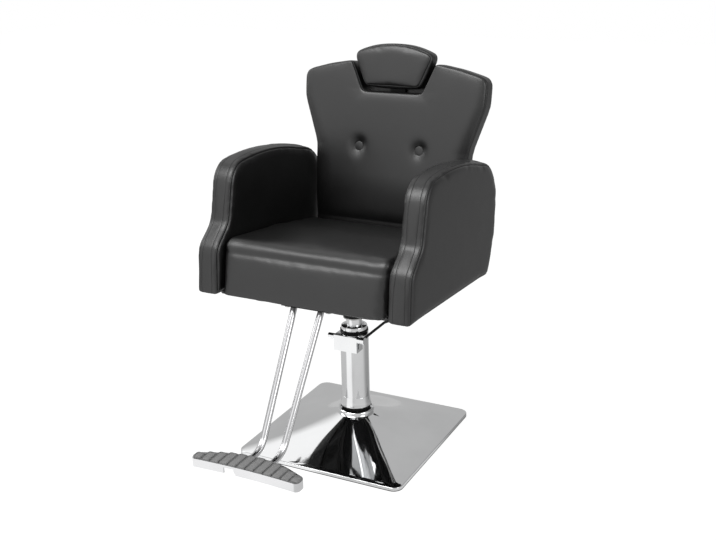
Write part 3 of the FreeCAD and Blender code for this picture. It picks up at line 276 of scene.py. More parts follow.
def principled(name, **constants):
    """A new material, its tone for adding nodes, and its shader with constants on its sockets."""
    made = bpy.data.materials.new(name)
    made.use_nodes = True
    shader = made.node_tree.nodes["Principled BSDF"]
    for socket, value in constants.items():
        shader.inputs[socket.replace("_", " ")].default_value = value
    return made, Tone(made.node_tree), shader


def feed(shader, socket, tone):
    tone.tree.links.new(tone.socket, shader.inputs[socket])


def noise(tone, scale, detail=2.0, stretch=(1, 1, 1)):
    """Noise from 0 to 1 on the object's own coordinates, stretched along its axes."""
    place = tone.node("ShaderNodeTexCoord", output="Object")
    turned = tone.node("ShaderNodeMapping", None, {"Vector": place, "Scale": stretch})
    return tone.node("ShaderNodeTexNoise", None,
                     {"Vector": turned, "Scale": scale, "Detail": detail})


def bump(tone, height, strength, distance):
    return tone.node("ShaderNodeBump", None,
                     {"Height": height, "Strength": strength, "Distance": distance})


def shade(colour, share):
    """The same colour, darker with a share below 1 and lighter above."""
    return tuple(share * part for part in colour[:3]) + (1,)


def polished_chrome(name, roughness, colour=chrome_colour, peel=0.015):
    """Mirror plating with faint wiping marks and a slight orange peel."""
    made, tone, shader = principled(name, Metallic=1.0)
    marks = noise(tone, scale=9.0, detail=4.0)
    feed(shader, "Base Color", marks.rise(low=0.3, high=0.75).between(shade(colour, 0.94), colour))
    feed(shader, "Roughness", roughness + marks * 0.035)
    skin = noise(tone, scale=55.0, detail=1.0)
    feed(shader, "Normal", bump(tone, skin, strength=peel, distance=1 * mm))
    return made


def give(material, *names):
    """Puts one material on CAD nodes by name."""
    for name in names:
        node = nodes[name]
        node.data.materials.clear()
        node.data.materials.append(material)


def shaped_grid(name, columns, rows, place):
    """A grid whose corners go to place(across, along), both 0 to 1; edges that meet are merged."""
    nothing_selected()
    bpy.ops.mesh.primitive_grid_add(x_subdivisions=columns, y_subdivisions=rows, size=1,
                                    location=(0.5, 0.5, 0))
    made = bpy.context.object
    made.name = name
    bpy.ops.object.transform_apply(location=True)
    for vertex in made.data.vertices:
        vertex.co = place(vertex.co.x, vertex.co.y)
    bpy.ops.object.mode_set(mode="EDIT")
    bpy.ops.mesh.select_all(action="SELECT")
    bpy.ops.mesh.remove_doubles(threshold=merge_distance)
    bpy.ops.mesh.normals_make_consistent(inside=False)
    bpy.ops.object.mode_set(mode="OBJECT")
    bpy.ops.object.shade_smooth()
    return made


def arc_through(first, middle, last):
    """Centre and radius of the circle through three points of a profile."""
    (ax, ay), (bx, by), (cx, cy) = first, middle, last
    d = 2 * (ax * (by - cy) + bx * (cy - ay) + cx * (ay - by))
    a, b, c = ax * ax + ay * ay, bx * bx + by * by, cx * cx + cy * cy
    x = (a * (by - cy) + b * (cy - ay) + c * (ay - by)) / d
    y = (a * (cx - bx) + b * (ax - cx) + c * (bx - ax)) / d
    return x, y, math.hypot(ax - x, ay - y)


def rounded_square(half, corner, turn, roundness):
    """Point of a rounded square in the direction turn, the more of a circle the rounder it is."""
    quarter, share = divmod(turn * 4, 1)
    swing = 2 * share - 1
    angle = math.pi / 4 * (1 + math.copysign(abs(swing) ** corner_gather, swing))
    inner = half - corner
    if angle <= math.atan2(inner, half):
        reach = half / math.cos(angle)
    elif angle >= math.atan2(half, inner):
        reach = half / math.sin(angle)
    else:
        across = 1 - math.sin(2 * angle)
        reach = inner * (math.cos(angle) + math.sin(angle))
        reach += math.sqrt(max(corner ** 2 - inner ** 2 * across, 0))
    angle += quarter * math.pi / 2
    reach += (half - reach) * roundness
    return reach * math.cos(angle), reach * math.sin(angle)


def base_levels():
    """Rings of the sheet from the rim to the neck's bore: half size, height, corner, roundness."""
    levels = [(base_half, rim_foot, base_corner, 0), (base_half, rim_edge, base_corner, 0)]
    for quarter in (0.25, 0.5, 0.75):
        turn = quarter * math.pi / 2
        levels.append((base_half - rim_round * (1 - math.cos(turn)),
                       rim_edge + rim_round * math.sin(turn), base_corner, 0))
    centre_x, centre_y, radius = arc_through((base_half, rim_top), (mid_reach, mid_height),
                                             (peak_reach, peak_height))
    for step in range(1, rows_up + 1):
        half = base_half - rim_round - (base_half - rim_round - neck_radius) * (step / rows_up)
        height = centre_y - math.sqrt(radius ** 2 - (half - centre_x) ** 2)
        share = (base_half - half) / (base_half - neck_radius)
        corner = base_corner + (neck_radius - base_corner) * share ** 3
        levels.append((half, height, min(corner, half), share))
    slight, full = neck_ease
    levels.append((neck_radius - slight, neck_top - slight, neck_radius - slight, 1))
    levels.append((neck_radius - full, neck_top, neck_radius - full, 1))
    levels.append((neck_bore, neck_top, neck_bore, 1))
    return levels


base_rings = base_levels()
base_rows = len(base_rings) - 1


def base_place(across, along):
    half, height, corner, roundness = base_rings[min(round(along * base_rows), base_rows)]
    x, y = rounded_square(half, corner, across % 1, roundness)
    return x, y, height


base_shell = shaped_grid("base_shell", columns_round, base_rows, base_place)
base_shell.data.materials.append(polished_chrome("base_chrome", 0.025))
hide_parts("base_cover")
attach(base_shell, "base")


def matt_rubber(name, colour, roughness):
    """Moulded rubber with a fine pitted skin."""
    made, tone, shader = principled(name, Roughness=roughness)
    pits = noise(tone, scale=420.0, detail=3.0)
    feed(shader, "Base Color", pits.rise(low=0.3, high=0.8).between(colour, shade(colour, 1.25)))
    feed(shader, "Normal", bump(tone, pits, strength=0.25, distance=0.3 * mm))
    return made


def raw_metal(name, colour, roughness, grain):
    """Turned or rolled metal with fine marks along the grain direction."""
    made, tone, shader = principled(name, Metallic=1.0)
    marks = noise(tone, scale=90.0, detail=4.0, stretch=grain)
    feed(shader, "Base Color", marks.rise(low=0.25, high=0.75).between(shade(colour, 0.8), colour))
    feed(shader, "Roughness", roughness + marks * 0.12)
    feed(shader, "Normal", bump(tone, marks, strength=0.1, distance=0.2 * mm))
    return made


black_rubber = matt_rubber("black_rubber", colour=(0.018, 0.018, 0.018, 1), roughness=0.62)
give(black_rubber, "base_pad")
iron = raw_metal("weight_plate_iron", colour=(0.16, 0.155, 0.15, 1), roughness=0.55, grain=(1, 1, 1))
give(iron, "base_plate")


# Pump column: a chrome tube with a flared collar and a turned ring on the neck; its foot below the
# collar is black, as painted shade in the gap between the ring and the collar.
# A black flange and a chrome crown close its top, and the pump head, with the foot lever's axle,
# is bolted on in front. Inside, oil lifts a piston with the ram.
column_radius = 36 * mm
column_bore = 33 * mm
column_low = 24 * mm
foot_top = 91 * mm
column_top = 293 * mm
flange_radius = 35.5 * mm
crown_radius = 33.5 * mm
crown_low = 298.5 * mm
crown_top = 308 * mm
crown_bore = 21 * mm
crown_round = (0.9 * mm, 3 * mm)
edge_break = 0.8 * mm
smooth_below = math.radians(35)


def turned(name, rings, corners=96):
    """A round piece: a circle at the first ring, extruded and scaled from ring to ring, closed."""
    nothing_selected()
    bpy.ops.mesh.primitive_circle_add(vertices=corners, radius=rings[0][0],
                                      location=(0, 0, rings[0][1]))
    made = bpy.context.object
    made.name = name
    bpy.ops.object.transform_apply(location=True)
    bpy.ops.object.mode_set(mode="EDIT")
    bpy.ops.mesh.select_all(action="SELECT")
    for (before, low), (after, high) in zip(rings, rings[1:] + rings[:1]):
        bpy.ops.mesh.extrude_region_move(TRANSFORM_OT_translate={"value": (0, 0, high - low)})
        bpy.ops.transform.resize(value=(after / before, after / before, 1),
                                 center_override=(0, 0, high))
    bpy.ops.mesh.select_all(action="SELECT")
    bpy.ops.mesh.remove_doubles(threshold=merge_distance)
    bpy.ops.mesh.normals_make_consistent(inside=False)
    bpy.ops.object.mode_set(mode="OBJECT")
    bpy.ops.object.shade_smooth_by_angle(angle=smooth_below)
    return made


# the profile of each turned piece: radius and height, ring by ring
collar_rings = [(column_radius, 90 * mm), (40 * mm, 90 * mm), (40.5 * mm, 91 * mm),
                (38.9 * mm, 95 * mm), (37.7 * mm, 101 * mm), (36.9 * mm, 108 * mm),
                (36.4 * mm, 116 * mm), (column_radius, 116 * mm)]
neck_rings = [(40 * mm, 72 * mm), (45.5 * mm, 72 * mm), (47 * mm, 73.2 * mm), (47.5 * mm, 75 * mm),
              (47.2 * mm, 77.4 * mm), (46 * mm, 79.6 * mm), (44.2 * mm, 80.9 * mm),
              (42.4 * mm, 80.9 * mm), (40.8 * mm, 79.8 * mm), (40 * mm, 78 * mm)]
crown_rings = [(crown_bore, crown_low), (crown_radius, crown_low),
               (crown_radius, crown_top - crown_round[1]),
               (crown_radius - crown_round[0], crown_top - edge_break),
               (crown_radius - crown_round[1], crown_top), (crown_bore, crown_top)]
flange_rings = [(crown_bore, column_top), (flange_radius, column_top),
                (flange_radius, crown_low - edge_break), (flange_radius - edge_break, crown_low),
                (crown_bore, crown_low)]
tube_rings = [(column_bore, foot_top), (column_radius, foot_top),
              (column_radius, column_top - edge_break), (column_radius - edge_break, column_top),
              (column_bore, column_top)]
# the foot, black as painted shade in the gap between the neck ring and the collar
shade_foot_rings = [(column_bore, column_low), (column_radius, column_low), (column_radius, foot_top),
              (column_bore, foot_top)]


def powder_coat(name, colour, roughness):
    """Baked paint with the slight orange peel of powder coating."""
    made, tone, shader = principled(name, Roughness=roughness, Specular_IOR_Level=0.2)
    peel = noise(tone, scale=260.0)
    dust = noise(tone, scale=14.0, detail=3.0)
    feed(shader, "Base Color", dust.rise(low=0.35, high=0.8).between(colour, shade(colour, 1.35)))
    feed(shader, "Normal", bump(tone, peel, strength=0.18, distance=0.4 * mm))
    return made


column_chrome = polished_chrome("column_chrome", roughness=0.05)
black_coat = powder_coat("black_powder_coat", colour=(0.006, 0.006, 0.006, 1), roughness=0.42)
# piece, its rings, the CAD node it stands for, its material and slot
for name, rings, node, material, slot in (
        ("column_tube", tube_rings, "pump_column", column_chrome, "chrome"),
        # the foot's black coat is painted shade for the gap between the neck ring and the collar
        ("column_foot_painted_shade", shade_foot_rings, "pump_column", black_coat, "black_steel"),
        ("column_flare", collar_rings, "column_collar", column_chrome, "chrome"),
        ("neck_trim", neck_rings, "neck_ring", column_chrome, "chrome"),
        ("cap_flange", flange_rings, "column_cap", black_coat, "black_steel"),
        ("cap_crown", crown_rings, "column_cap", column_chrome, "chrome")):
    piece = turned(name, rings)
    piece.data.materials.append(material)
    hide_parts(node)
    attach(piece, "base")
give(column_chrome, "pump_head", "lever_hub", "lever_axle", "ram_rod")
give(black_rubber, "wiper_seal", "piston_seal")
give(iron, "pump_flange")
bright_steel = raw_metal("zinc_plated_steel", colour=(0.55, 0.55, 0.54, 1), roughness=0.28,
                         grain=(1, 1, 6))
give(bright_steel, "flange_bolts", "pressure_cylinder", "piston")


# Foot lever: a steel rod in the hub on the pump head's axle, with a pedal plate welded to its end
# and a rubber pulled over that. Rod and plate are powder coated.
give(black_coat, "lever_rod", "pedal_plate")
give(black_rubber, "pedal_rubber")


# Seat carrier: a socket on top of the ram, which turns on a washer, is welded under a steel plate
# that is bolted to the seat board.
give(black_coat, "seat_socket", "mount_plate")
give(bright_steel, "thrust_washer", "board_bolts")


# Release lever: a bent rod with a rubber grip at the sitter's side, held in two small brackets
# under the board. It opens the valve of the gas spring.
give(black_coat, "release_lever", "release_brackets")
give(black_rubber, "release_grip")


# Back hinge: brackets on the board and on the back turn on two steel pins. A gas spring under the
# seat holds the back through a lever on the cross tube.
give(black_coat, "hinge_brackets", "back_brackets", "cross_tube", "spring_lever", "spring_cylinder")
give(bright_steel, "pivot_pins", "bracket_screws", "spring_rod", "spring_yoke")


# Seat board: plywood stained black, closed below by a black woven dust cloth that is stapled to
# its edge.
stain_light = (0.012, 0.011, 0.010, 1)
stain_dark = (0.005, 0.005, 0.005, 1)
cloth_black = (0.004, 0.004, 0.0042, 1)
cloth_grey = (0.009, 0.009, 0.0095, 1)
thread_pitch = 1.2 * mm


def plywood(name, dark, light, **constants):
    """Plywood with its grain along the board's length and its layers at the edges."""
    made, tone, shader = principled(name, **constants)
    grain = noise(tone, scale=60.0, detail=6.0, stretch=(1, 0.06, 8))
    feed(shader, "Base Color", grain.rise(low=0.3, high=0.7).between(dark, light))
    feed(shader, "Normal", bump(tone, grain, strength=0.15, distance=0.3 * mm))
    return made


give(plywood("black_stained_plywood", stain_dark, stain_light, Roughness=0.7,
             Specular_IOR_Level=0.15), "seat_board")

dust_cloth, cloth_tone, cloth_shader = principled("dust_cloth", Roughness=0.9,
                                                  Specular_IOR_Level=0.1)
cloth_place = cloth_tone.node("ShaderNodeTexCoord", output="Object")
warp, weft = ((cloth_place.part(axis) * (math.tau / thread_pitch)).sine() for axis in "XY")
weave = warp * weft
feed(cloth_shader, "Base Color", weave.rise(low=-0.6, high=0.8).between(cloth_black, cloth_grey))
feed(cloth_shader, "Normal", bump(cloth_tone, weave, strength=0.3, distance=0.2 * mm))
give(dust_cloth, "dust_cover")


# Seat cushion: foam under charcoal leatherette, drawn over the front edge of the board. The top
# panel rolls over the front and meets the apron in a soft seam.
seat_tilt = math.radians(3.97)
shell_base = 421.5 * mm
seat_frame = Matrix.Translation((0, 0, shell_base)) @ Matrix.Rotation(-seat_tilt, 4, "X")
seat_half = 219.6 * mm
seat_swell = 5 * mm
seat_step = 8 * mm
# places across one end, from the end inwards; the middle goes on in even steps
seat_end_places = (0.0, 1.5 * mm, 3.5 * mm, 6 * mm, 9 * mm, 13 * mm, 18 * mm, 24 * mm)
# each end is rounded above this height and in front of this depth, and by at most so much
seat_end_round = 22 * mm
seat_end_most = 12 * mm
rounded_above = 22 * mm
rounded_before = -244 * mm
# the seam across the apron: only what lies before the front face is pressed in
seam_height = 108 * mm
seam_depth = 2.3 * mm
seam_spread = 7 * mm
front_face = -236 * mm
front_blend = 3 * mm
# along, up and corner radius: the apron's foot first, over the top to the rear, and back below
seat_corners = (
    (-268.0 * mm, -2.0 * mm, 5.0 * mm),
    (-251.5 * mm, 139.0 * mm, 28.0 * mm),
    (-40.0 * mm, 133.0 * mm, 900.0 * mm),
    (167.0 * mm, 112.0 * mm, 14.0 * mm),
    (167.0 * mm, 18.4 * mm, 2.0 * mm),
    (-240.4 * mm, 18.4 * mm, 2.0 * mm),
    (-240.4 * mm, -2.0 * mm, 2.0 * mm),
)
leather_dark = (0.0025, 0.0025, 0.0026, 1)
leather_light = (0.0045, 0.0045, 0.0046, 1)
# painted shade: the near-black drawn along the seams and round the buttons, for the shade in their
# creases
painted_crease_shade = (0.0005, 0.0005, 0.0005, 1)
# the half-width of the ring of painted shade round each button
pit_shade_width = 2.6 * mm


def leatherette(name, seams=(), pits=()):
    """Embossed vinyl: small rounded grains, a satin skin that varies softly, painted shade along its
    seams.

    Each seam is its place round the cover, on the attribute for that, and its width, both in
    millimetres. Each pit is a tuft's place and a radius, with a ring of painted shade there round
    its button."""
    made, tone, shader = principled(name, Specular_IOR_Level=0.79)
    place = tone.node("ShaderNodeTexCoord", output="Object")
    grain = tone.node("ShaderNodeTexVoronoi", {"feature": "DISTANCE_TO_EDGE"},
                      {"Vector": place, "Scale": 650.0}, output="Distance")
    cloudy = noise(tone, scale=11.0, detail=3.0)
    worn = noise(tone, scale=38.0, detail=4.0)
    colour = cloudy.rise(low=0.3, high=0.75).between(leather_dark, leather_light)
    roughness = 0.33 + cloudy * 0.07 + worn * 0.04
    height = grain.rise(low=0.0, high=0.25) * 0.02
    away = []
    if seams:
        round_cover = tone.node("ShaderNodeAttribute", {"attribute_name": "round_cover"},
                                output="Fac")
        away += [(round_cover - seam).absolute() * (1 / width) for seam, width in seams]
    # a ring of painted shade round each button
    for pit, reach in pits:
        from_pit = tone.node("ShaderNodeVectorMath", {"operation": "DISTANCE"},
                             {0: place, 1: pit}, output="Value")
        away.append((from_pit - reach).absolute() * (1 / pit_shade_width))
    if away:
        nearest = away[0]
        for share in away[1:]:
            nearest = nearest.smaller(share)
        # painted shade: near-black and rougher along each seam and round each button
        painted_shade = 1 - nearest.rise(low=0.2, high=1.0)
        colour = painted_shade.between(colour, painted_crease_shade)
        roughness = roughness + painted_shade * 0.4
        height = height + nearest.rise(low=0.0, high=1.6)
    feed(shader, "Base Color", colour)
    feed(shader, "Roughness", roughness)
    feed(shader, "Normal", bump(tone, height, strength=0.9, distance=0.9 * mm))
    return made


smooth_leather = leatherette("charcoal_leatherette")


def pick(*pieces):
    """Selects these pieces alone, and makes the last one active."""
    nothing_selected()
    for piece in pieces:
        piece.select_set(True)
    bpy.context.view_layer.objects.active = pieces[-1]


def applied(piece, kind, **settings):
    """Adds a modifier with its settings and applies it."""
    pick(piece)
    modifier = piece.modifiers.new(kind.title(), kind)
    for name, value in settings.items():
        setattr(modifier, name, value)
    bpy.ops.object.modifier_apply(modifier=modifier.name)


def corners_of(piece):
    points = np.empty(len(piece.data.vertices) * 3)
    piece.data.vertices.foreach_get("co", points)
    return points.reshape(-1, 3)


def normals_of(piece):
    normals = np.empty(len(piece.data.vertices) * 3)
    piece.data.vertex_normals.foreach_get("vector", normals)
    return normals.reshape(-1, 3)


def move_corners(piece, points):
    piece.data.vertices.foreach_set("co", np.ascontiguousarray(points, dtype=np.float32).ravel())
    piece.data.update()


def blown(piece, swell, draw_in=0.6, pressure=4.0, frames=20, smoothing=3):
    """Foam under its cover: drawn in, then blown up as cloth by at most swell, and smoothed."""
    start = corners_of(piece) - normals_of(piece) * swell * draw_in
    move_corners(piece, start)
    cloth = piece.modifiers.new("Cloth", "CLOTH")
    cloth.settings.quality = 4
    cloth.settings.mass = 0.3
    cloth.settings.tension_stiffness = 15
    cloth.settings.compression_stiffness = 15
    cloth.settings.bending_stiffness = 0.5
    cloth.settings.use_pressure = True
    cloth.settings.uniform_pressure_force = pressure
    cloth.settings.effector_weights.gravity = 0
    for step in range(1, frames + 1):
        bpy.context.scene.frame_set(step)
    pick(piece)
    bpy.ops.object.modifier_apply(modifier="Cloth")
    bpy.context.scene.frame_set(1)
    moved = corners_of(piece) - start
    length = np.maximum(np.linalg.norm(moved, axis=1, keepdims=True), 1e-9)
    move_corners(piece, start + moved / length * swell * np.tanh(length / swell))
    applied(piece, "SMOOTH", factor=0.5, iterations=smoothing)
    applied(piece, "SUBSURF", levels=1, render_levels=1)
    bpy.ops.object.shade_smooth()


def settle(piece, place):
    """Puts a piece that was made in its own frame into the chair's frame, in its mesh."""
    piece.data.transform(place)
    piece.data.update()


def outline_points(corners, spacing, finest_turn=0.25, closest=0.1 * mm):
    """Points round a closed outline of straight runs that tangent arcs join."""
    stretches = []
    for index, (a, b, radius) in enumerate(corners):
        corner = Vector((a, b))
        before = (Vector(corners[index - 1][:2]) - corner).normalized()
        after = (Vector(corners[(index + 1) % len(corners)][:2]) - corner).normalized()
        half = before.angle(after) / 2
        reach = radius / math.tan(half)
        middle = corner + (before + after).normalized() * (radius / math.sin(half))
        stretches.append((corner + before * reach, corner + after * reach, middle, radius,
                          math.pi - 2 * half))
    points = []
    for index, (enter, leave, middle, radius, turn) in enumerate(stretches):
        steps = max(2, math.ceil(radius * turn / spacing), math.ceil(turn / finest_turn))
        start = enter - middle
        side = math.copysign(1, start.x * (leave - middle).y - start.y * (leave - middle).x)
        for step in range(steps + 1):
            swing = side * turn * step / steps
            points.append(middle + Vector((start.x * math.cos(swing) - start.y * math.sin(swing),
                                           start.x * math.sin(swing) + start.y * math.cos(swing))))
        following = stretches[(index + 1) % len(stretches)][0]
        steps = max(1, math.ceil((following - leave).length / spacing))
        for step in range(1, steps):
            points.append(leave.lerp(following, step / steps))
    return [point for index, point in enumerate(points)
            if (point - points[index - 1]).length > closest]


def slab_start(name, outline, place):
    """A flat face in the shape of an outline: a circle whose corners go round it, all selected."""
    nothing_selected()
    bpy.ops.mesh.primitive_circle_add(vertices=len(outline), radius=1, fill_type="NGON")
    made = bpy.context.object
    made.name = name
    for vertex, point in zip(made.data.vertices, outline):
        vertex.co = place(point)
    bpy.ops.object.mode_set(mode="EDIT")
    bpy.ops.mesh.select_all(action="SELECT")
    return made


def slab_end(piece):
    """Turns the faces of the piece in edit mode outwards, and leaves edit mode."""
    bpy.ops.mesh.select_all(action="SELECT")
    bpy.ops.mesh.normals_make_consistent(inside=False)
    bpy.ops.object.mode_set(mode="OBJECT")


seat_outline = outline_points(seat_corners, spacing=6 * mm)


def seat_place(point):
    return -seat_half, point.x, point.y


seat_pad = slab_start("seat_pad", seat_outline, seat_place)
seat_stations = [-seat_half + place for place in seat_end_places]
middle_run = 2 * (seat_half - seat_end_places[-1])
middle_steps = round(middle_run / seat_step)
seat_stations += [seat_stations[-1] + middle_run * step / middle_steps
                  for step in range(1, middle_steps)]
seat_stations += [seat_half - place for place in reversed(seat_end_places)]
for start, end in zip(seat_stations, seat_stations[1:]):
    bpy.ops.mesh.extrude_region_move(TRANSFORM_OT_translate={"value": (end - start, 0, 0)})
slab_end(seat_pad)
# the two end faces, with many corners each, are cut into triangles
for face in seat_pad.data.polygons:
    face.select = len(face.vertices) > 4
bpy.ops.object.mode_set(mode="EDIT")
bpy.ops.mesh.quads_convert_to_tris()
bpy.ops.object.mode_set(mode="OBJECT")
# both ends are rounded: each ring there is drawn in from the top and the front, not from below
ring = np.array([tuple(point) for point in seat_outline])
run = np.roll(ring, -1, axis=0) - np.roll(ring, 1, axis=0)
inward = np.stack((run[:, 1], -run[:, 0]), axis=1) / np.linalg.norm(run, axis=1, keepdims=True)
outer_side = (ring[:, 1] > rounded_above) | (ring[:, 0] < rounded_before)
seat_points = corners_of(seat_pad)
nearest = np.argmin(((seat_points[:, None, 1:] - ring[None]) ** 2).sum(axis=2), axis=1)
from_end = np.clip(seat_half - np.abs(seat_points[:, 0]), 0, seat_end_round)
end_shift = seat_end_round - np.sqrt(seat_end_round ** 2 - (seat_end_round - from_end) ** 2)
end_shift = np.minimum(end_shift, seat_end_most) * outer_side[nearest]
seat_points[:, 1:] += inward[nearest] * end_shift[:, None]
move_corners(seat_pad, seat_points)
blown(seat_pad, seat_swell)
seat_points = corners_of(seat_pad)
seat_normals = normals_of(seat_pad)
on_front = 1 / (1 + np.exp((seat_points[:, 1] - front_face) / front_blend))
press = seam_depth * np.exp(-((seat_points[:, 2] - seam_height) / seam_spread) ** 2) * on_front
seat_points -= seat_normals * press[:, None]
seat_points[:, 0] = np.clip(seat_points[:, 0], -seat_half, seat_half)
move_corners(seat_pad, seat_points)
settle(seat_pad, seat_frame)
seat_pad.data.materials.append(smooth_leather)
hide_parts("seat_cushion")
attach(seat_pad, "seat")


# Arms: plywood cores bolted to the seat board, with foam, covered in the same leatherette. A band
# 60 mm wide wraps the edge and is sewn to the side panels 6 mm past the corner. A faint crease
# runs round it near each corner.
ply_light = (0.42, 0.29, 0.16, 1)
ply_dark = (0.25, 0.16, 0.08, 1)
arm_inner = 220 * mm
arm_width = 59.7 * mm
arm_round = 8 * mm
arm_voxel = 5 * mm
arm_swell = 3 * mm
# along, up and corner radius, front foot first and then over the top
arm_corners = (
    (-272.0 * mm, 0.0, 6.0 * mm),
    (-270.0 * mm, 116.0 * mm, 50.0 * mm),
    (-218.3 * mm, 168.4 * mm, 60.0 * mm),
    (-194.4 * mm, 306.9 * mm, 68.0 * mm),
    (-18.6 * mm, 333.3 * mm, 730.0 * mm),
    (259.0 * mm, 284.7 * mm, 112.0 * mm),
    (252.0 * mm, 98.0 * mm, 160.0 * mm),
    (213.0 * mm, 0.0, 12.0 * mm),
)
# each seam: its place from the corner, over the band or, below 0, down the side, width and depth
arm_seams = (
    (13.5 * mm, 0.7 * mm, 0.4 * mm),
    (-6.0 * mm, 2.0 * mm, 1.6 * mm),
)


def remeshed_slab(name, outline, place, travel, edge_round, voxel, edge_steps=3):
    """A rounded slab of foam: extruded from its outline, bevelled and remeshed evenly."""
    made = slab_start(name, outline, place)
    bpy.ops.mesh.extrude_region_move(TRANSFORM_OT_translate={"value": travel})
    slab_end(made)
    applied(made, "BEVEL", width=edge_round, segments=edge_steps, limit_method="ANGLE",
            angle_limit=math.radians(60))
    applied(made, "REMESH", mode="VOXEL", voxel_size=voxel)
    applied(made, "SMOOTH", factor=0.5, iterations=3)
    return made


def depth_inside(points, outline):
    """How far points lie inside a closed outline; it is negative outside."""
    nearest = np.full(len(points), np.inf)
    inside = np.zeros(len(points), dtype=bool)
    corners = np.array([tuple(corner) for corner in outline])
    for start, end in zip(np.roll(corners, 1, axis=0), corners):
        run = end - start
        away = points - start
        share = np.clip((away @ run) / (run @ run), 0, 1)
        nearest = np.minimum(nearest, np.linalg.norm(away - share[:, None] * run, axis=1))
        crossing = (start[1] > points[:, 1]) != (end[1] > points[:, 1])
        if abs(run[1]) > 1e-9:
            inside ^= crossing & (
                points[:, 0] < start[0] + run[0] * (points[:, 1] - start[1]) / run[1])
    return np.where(inside, nearest, -nearest)


def sew(piece, round_cover, seams, pits=(), groove=1.7):
    """Presses seams, each a place, a width and a depth, into a cover and covers it in leatherette
    with painted shade along them.

    How far round the cover each place is stays with the mesh, in millimetres."""
    pressed = sum(depth * np.exp(-((round_cover - seam) / (groove * width)) ** 2)
                  for seam, width, depth in seams)
    move_corners(piece, corners_of(piece) - normals_of(piece) * pressed[:, None])
    attribute = piece.data.attributes.new("round_cover", "FLOAT", "POINT")
    attribute.data.foreach_set("value", (round_cover / mm).astype(np.float32))
    leather = leatherette("leatherette_" + piece.name,
                          [(seam / mm, width / mm) for seam, width, depth in seams], pits)
    piece.data.materials.clear()
    piece.data.materials.append(leather)


def copied(piece, name, place):
    """A copy of a piece with a mesh of its own, moved or mirrored to its place."""
    pick(piece)
    bpy.ops.object.duplicate()
    twin = bpy.context.object
    twin.name = name
    settle(twin, place)
    return twin


arm_outline = outline_points(arm_corners, spacing=7 * mm)


def arm_place(point):
    return arm_inner, point.x, point.y


arm_left = remeshed_slab("arm_left_cover", arm_outline, arm_place, (arm_width, 0, 0), arm_round,
                         arm_voxel)
blown(arm_left, arm_swell, draw_in=0.7, pressure=1.6)
arm_points = corners_of(arm_left)
from_rim = depth_inside(arm_points[:, 1:], arm_outline)
from_side = arm_width / 2 - np.abs(arm_points[:, 0] - arm_inner - arm_width / 2)
sew(arm_left, from_side - from_rim, arm_seams)
settle(arm_left, seat_frame)
arm_right = copied(arm_left, "arm_right_cover", Matrix.Scale(-1, 4, (1, 0, 0)))
arm_right.data.flip_normals()
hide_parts("arm_band_left", "arm_inner_panels", "arm_outer_panels")
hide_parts("arm_band_right", "arm_inner_panels", "arm_outer_panels")
for cover in (arm_left, arm_right):
    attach(cover, "seat")
birch = plywood("birch_plywood", ply_dark, ply_light, Roughness=0.62)
give(birch, "arm_cores")
give(bright_steel, "arm_bolts")


# Back: one tall foam pad on a plywood board, flared at the shoulders and notched for the
# headrest. A boxing band is sewn round the front panel and wraps the edge to the rear, where a
# separate padded panel closes it. Two covered buttons are tied through it.
back_lean = math.radians(5.13)
back_foot = Matrix.Translation((0, 171.8 * mm, 115 * mm))
back_frame = seat_frame @ back_foot @ Matrix.Rotation(-back_lean, 4, "X")
back_voxel = 5 * mm
back_swell = 3 * mm
# the sitter's left half: across, up and corner radius, from the foot to the notch
back_corners = (
    (218.5 * mm, -45.0 * mm, 10.0 * mm),
    (218.5 * mm, 194.0 * mm, 120.0 * mm),
    (257.5 * mm, 312.0 * mm, 130.0 * mm),
    (258.5 * mm, 383.0 * mm, 28.0 * mm),
    (185.0 * mm, 404.0 * mm, 300.0 * mm),
    (116.5 * mm, 416.0 * mm, 12.0 * mm),
    (81.0 * mm, 340.0 * mm, 10.0 * mm),
)
# the rear panel's notch is smaller, so that nothing shows through behind the headrest
rear_corners = back_corners[:5] + (
    (96.0 * mm, 419.0 * mm, 10.0 * mm),
    (62.0 * mm, 372.0 * mm, 10.0 * mm),
)
back_front_round = 3.5 * mm
back_band_depth = 57 * mm
back_soft_depth = 38 * mm
# height, width and depth of the roll towards each side, low down and at the shoulders
roll_low = (120 * mm, 62 * mm, 11 * mm)
roll_high = (340 * mm, 34 * mm, 4 * mm)
back_low_from = 125 * mm
back_low_drop = 20 * mm
# a seam's place from the edge, over the band or, below 0, in over the face, its width and depth
front_seam = (3.0 * mm, 1.9 * mm, 1.4 * mm)
rear_panel_inset = 5 * mm
rear_panel_half = 250 * mm
rear_panel_middle = 180 * mm
rear_panel_front = 52.5 * mm
rear_panel_rear = 60 * mm
rear_panel_round = 3 * mm
rear_panel_swell = 2 * mm
rear_seam = (-12 * mm, 1.3 * mm, 1.0 * mm)
button_sites = (-85 * mm, 85 * mm)
button_height = 193 * mm
button_radius = 8.5 * mm
# the radius of the ring of painted shade round each button
shade_ring_radius = 11 * mm
# each dimple's middle lies above its button, and it reaches further down than up
pit_radius = 18 * mm
pit_depth = 9 * mm
pit_rise = 4 * mm
pit_below = 0.75


def both_sides(corners):
    """The sitter's left half of an outline with its mirror image added."""
    mirrored = [(-a, b, radius) for a, b, radius in reversed(corners) if a > 0]
    return list(corners) + mirrored


back_outline = outline_points(both_sides(back_corners), spacing=7 * mm)


def back_place(point):
    return point.x, 0, point.y


